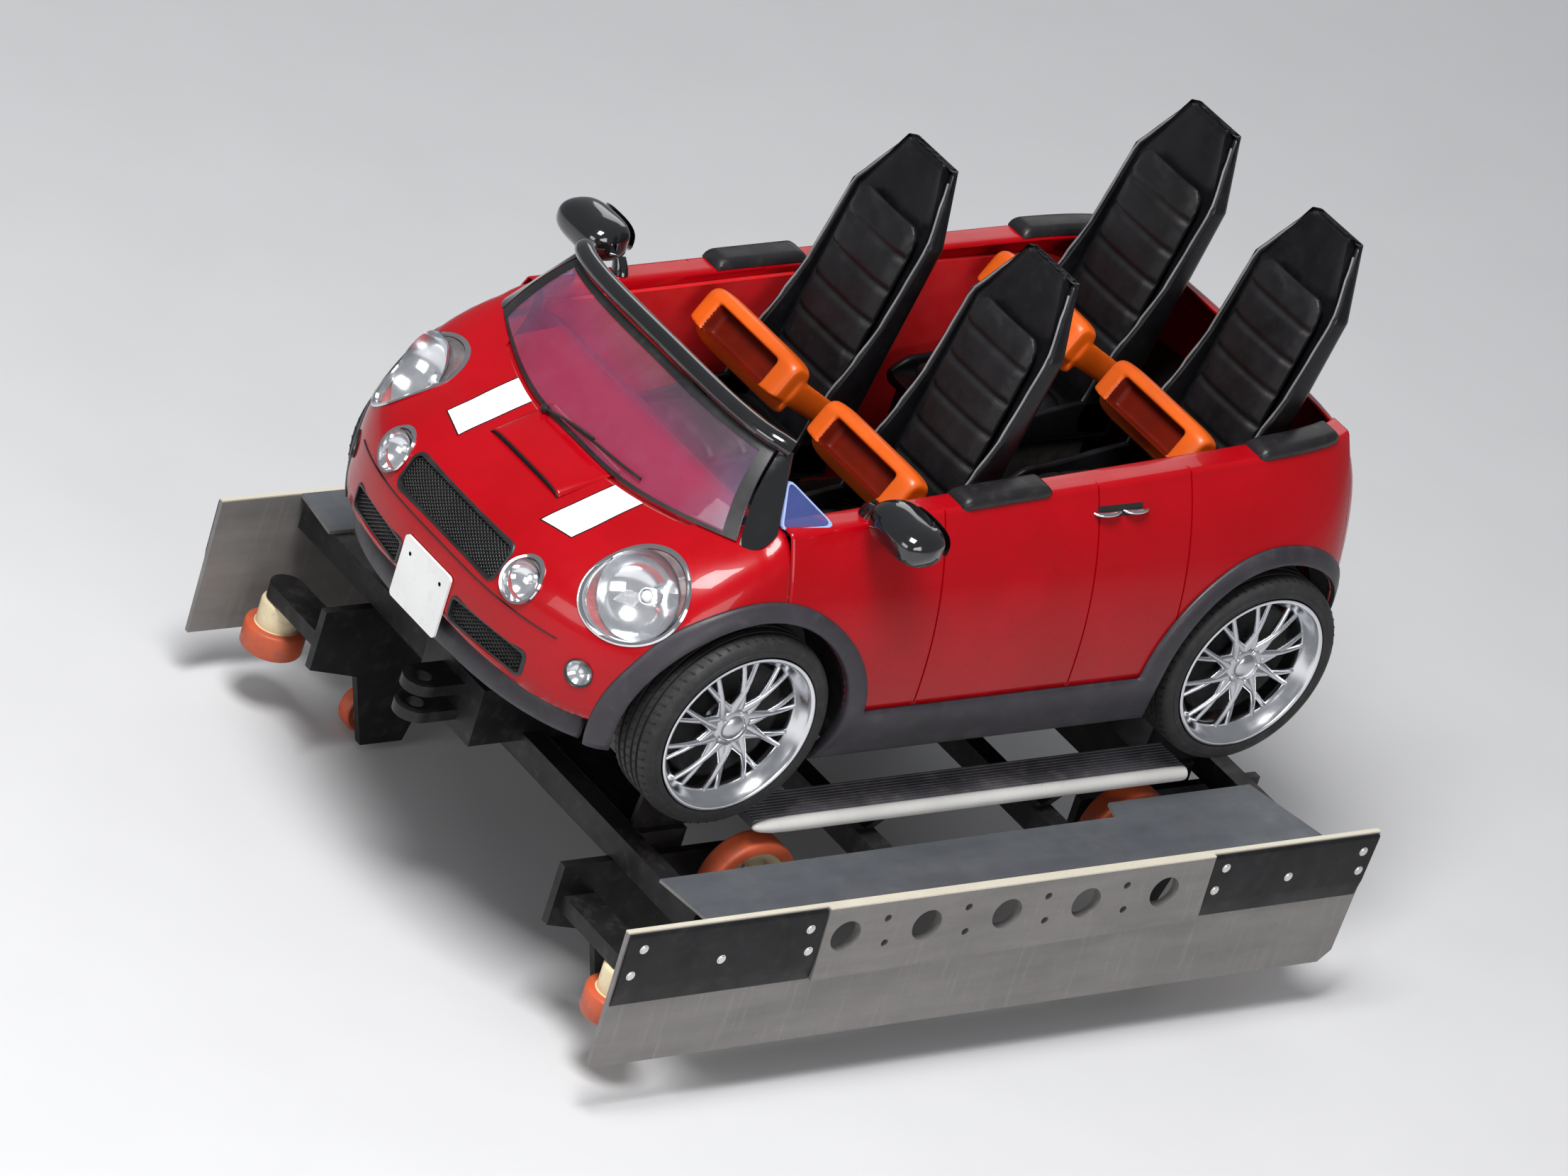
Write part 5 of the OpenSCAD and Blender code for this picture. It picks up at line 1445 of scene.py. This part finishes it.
# Pads on the sides' top edges: distance outward and height, each with whether it sinks to nothing at the ends
PAD_SECTION = [(3, 1, -12, 0), (8, 1, -5, 0), (10, 1, 3, 1), (8, 1, 11, 1), (2, 0, 17, 1), (-8, 0, 19.5, 1),
               (-22, 0, 20, 1), (-40, 0, 20, 1), (-50, 0, 18, 1), (-57, 0, 11, 1), (-59, 0, 0, 0)]
b = Build()
for x0, x1 in ((-47, 194), (-860, -619)):
    rows = []
    for s in shares(30):
        x = mix(x0, x1, s)
        e = min(1.0, min(s, 1 - s) * 12) ** 0.5
        z, y = belt_z(x), side_y(x, belt_z(x))
        rows.append([(x, y + dy * (e if grow_y else 1), z + dz * (e if grow_z else 1))
                     for dy, grow_y, dz, grow_z in PAD_SECTION])
    b.grid(rows)
    for row in (rows[0], rows[-1]):
        b.face(row)
b.both().make("edge_pads", "pad", slot="pad_black", replaces=("sill_pads",))


# Steps: a ribbed tread, a rolled nosing and two brackets
b = Build()
x0, x1, y0, y1, z0, z1 = -612, 558, 488, 600, -265, -243
GROOVE, PITCH = 3, 9.5
ribs = [(y0, z0), (y0, z1 - GROOVE)]
y = y0
while y < y1 - 26:
    ribs += [(y, z1 - GROOVE), (y + 1.2, z1), (y + 5.2, z1), (y + 6.4, z1 - GROOVE)]
    y += PITCH
ribs += [(y1 - 24, z1 - GROOVE), (y1 - 24, z0)]
xs = [mix(x0 + 3, x1 - 3, s) for s in shares(26)]
b.grid([[(x, p, q) for p, q in ribs] for x in xs], 0)
for x in (xs[0], xs[-1]):
    b.face([(x, p, q) for p, q in ribs])
nosing = ((x0, 11), (x0 + 3, 15.5), (x0 + 10, 17), (x1 - 90, 17), (x1 - 45, 15.5), (x1 - 18, 11.5), (x1 - 5, 7),
          (x1, 3))
b.grid([[(x, 583 + r * cos(t), -259 + r * sin(t)) for t in turns(28)] for x, r in nosing], 1, wrap_cols=True, caps=True)
for xc in (-240, 240):
    for s in (-1, 1):
        for ya, yb, outer, inner in ((505, 511, 84, 58), (569, 575, 84, 58), (511, 569, 66, 60)):
            side = ((inner, z0 + 1), (outer, z0 + 1), (outer - 60, -306), (inner - 60, -306))
            b.grid([[(xc + s * p, yy, z) for p, z in side] for yy in (ya, yb)], 2, wrap_cols=True, caps=True)
b.both().make("running_boards", ["rubber", "bare", "steel"], slot="step_tread", replaces=("steps",))


# CAD nodes that stay, with their material and the width and segments of their rounded edges
for node, mat, width, segments in (("tub", "tub", 3, 2), ("dashboard", "black", 6, 3),
                                   ("number_plates", "white", 1.5, 2), ("fin_left", "fin", 1.2, 2),
                                   ("fin_right", "fin", 1.2, 2), ("chassis", "steel", 2.5, 2),
                                   ("axle_front", "steel", 2, 2), ("axle_rear", "steel", 2, 2)):
    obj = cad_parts[node]
    for place in obj.material_slots:
        place.material = MAT[mat]
    bevel(obj, width, segments)

# Straps on the fins: plates with a bent lower edge and zinc bolts
FACE, BACK, TOP = 830.6, 823.3, -304
# Share of the height, depth of the bend, and whether the point is on the back
STRAP = ((0.0, -2.5, 0), (0.02, -0.6, 0), (0.05, 0, 0), (0.74, 0, 0), (0.77, -0.8, 0), (0.98, -5.0, 0), (1.0, -7.0, 0),
         (1.0, 0, 1), (0.0, 0, 1))
b, bolts = Build(), Build()
for (ta, tb), (ba, bb), low in (((1018, 511), (1014, 503), -482), ((-536, -1000), (-544, -988), -462)):
    def on_strap(u, v):
        return mix(mix(ta, ba, v), mix(tb, bb, v), u)
    rows = [[(on_strap(u, v), BACK if back else FACE + out, mix(TOP, low, v)) for u in shares(12)]
            for v, out, back in STRAP]
    b.grid(rows, 0, wrap_rows=True)
    for end in (0, -1):
        b.face([r[end] for r in rows])
    for u, v in ((0.05, 0.56), (0.08, 0.20), (0.50, 0.50), (0.93, 0.24), (0.95, 0.56)):
        bolts.lathe([(0.01, -1), (11, -1), (11, 0.6), (8.5, 1.0), (8, 2.2), (6, 2.6), (0.01, 2.6)],
                    (on_strap(u, v), FACE, mix(TOP, low, v)), (0, 1, 0), 0, 24, False)
b.both().make("fin_strap_plates", "strap", slot="frame_black", replaces=("fin_straps",))
bolts.both().make("strap_bolts", "bolt", slot="rim_silver")

# Tail lamps: a dark raised frame round a red lens
cy, cz = 372.5, 172.5
outline = rounded_outline(cy, cz, 85, 125, 20)
b = Build()
for mat, section in enumerate((((1.0, 0.5), (1.0, 6), (0.97, 11), (0.9, 14)),
                               ((0.9, 14), (0.88, 15.5), (0.6, 16.5), (0.3, 16.5), (0.01, 16.5)))):
    rings = []
    for s, h in section:
        ring = [(cy + s * (y - cy), cz + s * (z - cz)) for y, z in outline]
        rings.append([(tail_face(y, z) - h, y, z) for y, z in ring])
    b.grid(rings, mat, wrap_cols=True)
b.both().make("tail_lamp_lenses", ["black", "red_lens"], slot="lamp_red", replaces=("tail_lamps",))


# Camera, light and floor
cam = bpy.data.cameras.new("camera")
cam_obj = linked("camera", cam)
bpy.context.scene.camera = cam_obj
toward = Vector((0.6028, 0.6384, 0.4786)).normalized()
up = Vector((-0.0866, -0.5439, 0.8347))
up = (up - toward * up.dot(toward)).normalized()
right = up.cross(toward)
AIM_HEIGHT, SHIFT_RIGHT, SHIFT_UP, DISTANCE = 0.785, 0.138, 0.108, 19.76
place = Vector((0.0, 0.0, AIM_HEIGHT)) - right * SHIFT_RIGHT - up * SHIFT_UP + toward * DISTANCE
cam_obj.matrix_world = Matrix([(*row, shift) for row, shift in zip(zip(right, up, toward), place)] + [(0, 0, 0, 1)])
cam.lens, cam.sensor_width, cam.clip_end = 212, 36, 200

FLOOR_HALF, FLOOR_CELLS = 16, 24
marks = [mix(-FLOOR_HALF, FLOOR_HALF, s) for s in shares(FLOOR_CELLS)]
me = bpy.data.meshes.new("floor")
me.from_pydata([(x, y, 0.0) for x in marks for y in marks], [], grid_faces(len(marks), len(marks)))
n = Nodes("floor_pale")
n.out(n.blend(n.noise(3.0), (0.56, 0.56, 0.57), (0.60, 0.60, 0.61)), 0.7, n.bump(n.noise(80.0), 0.02))
me.materials.append(n.mat)
linked("floor", me)


def area(name, place, target, size, power):
    light = bpy.data.lights.new(name, "AREA")
    light.shape, light.size, light.size_y, light.energy = "RECTANGLE", *size, power
    obj = linked(name, light)
    obj.location = place
    obj.rotation_euler = (Vector(target) - Vector(place)).to_track_quat("-Z", "Y").to_euler()


area("key", (3.0, 1.5, 8.5), (0, 0, 0.8), (3.0, 3.0), 950)
area("side", (2.0, 9.0, 3.5), (0, 0, 0.7), (6.0, 3.0), 300)
area("front", (9.0, 1.0, 3.0), (0, 0, 0.7), (4.0, 3.0), 170)
area("back", (-7.0, -6.0, 5.5), (0, 0, 0.8), (5.0, 4.0), 90)
bpy.context.scene.view_settings.view_transform = "Standard"
world = bpy.data.worlds.new("studio")
bpy.context.scene.world = world
world.use_nodes = True
background = world.node_tree.nodes["Background"].inputs
background["Color"].default_value, background["Strength"].default_value = (0.86, 0.89, 0.94, 1), 0.26
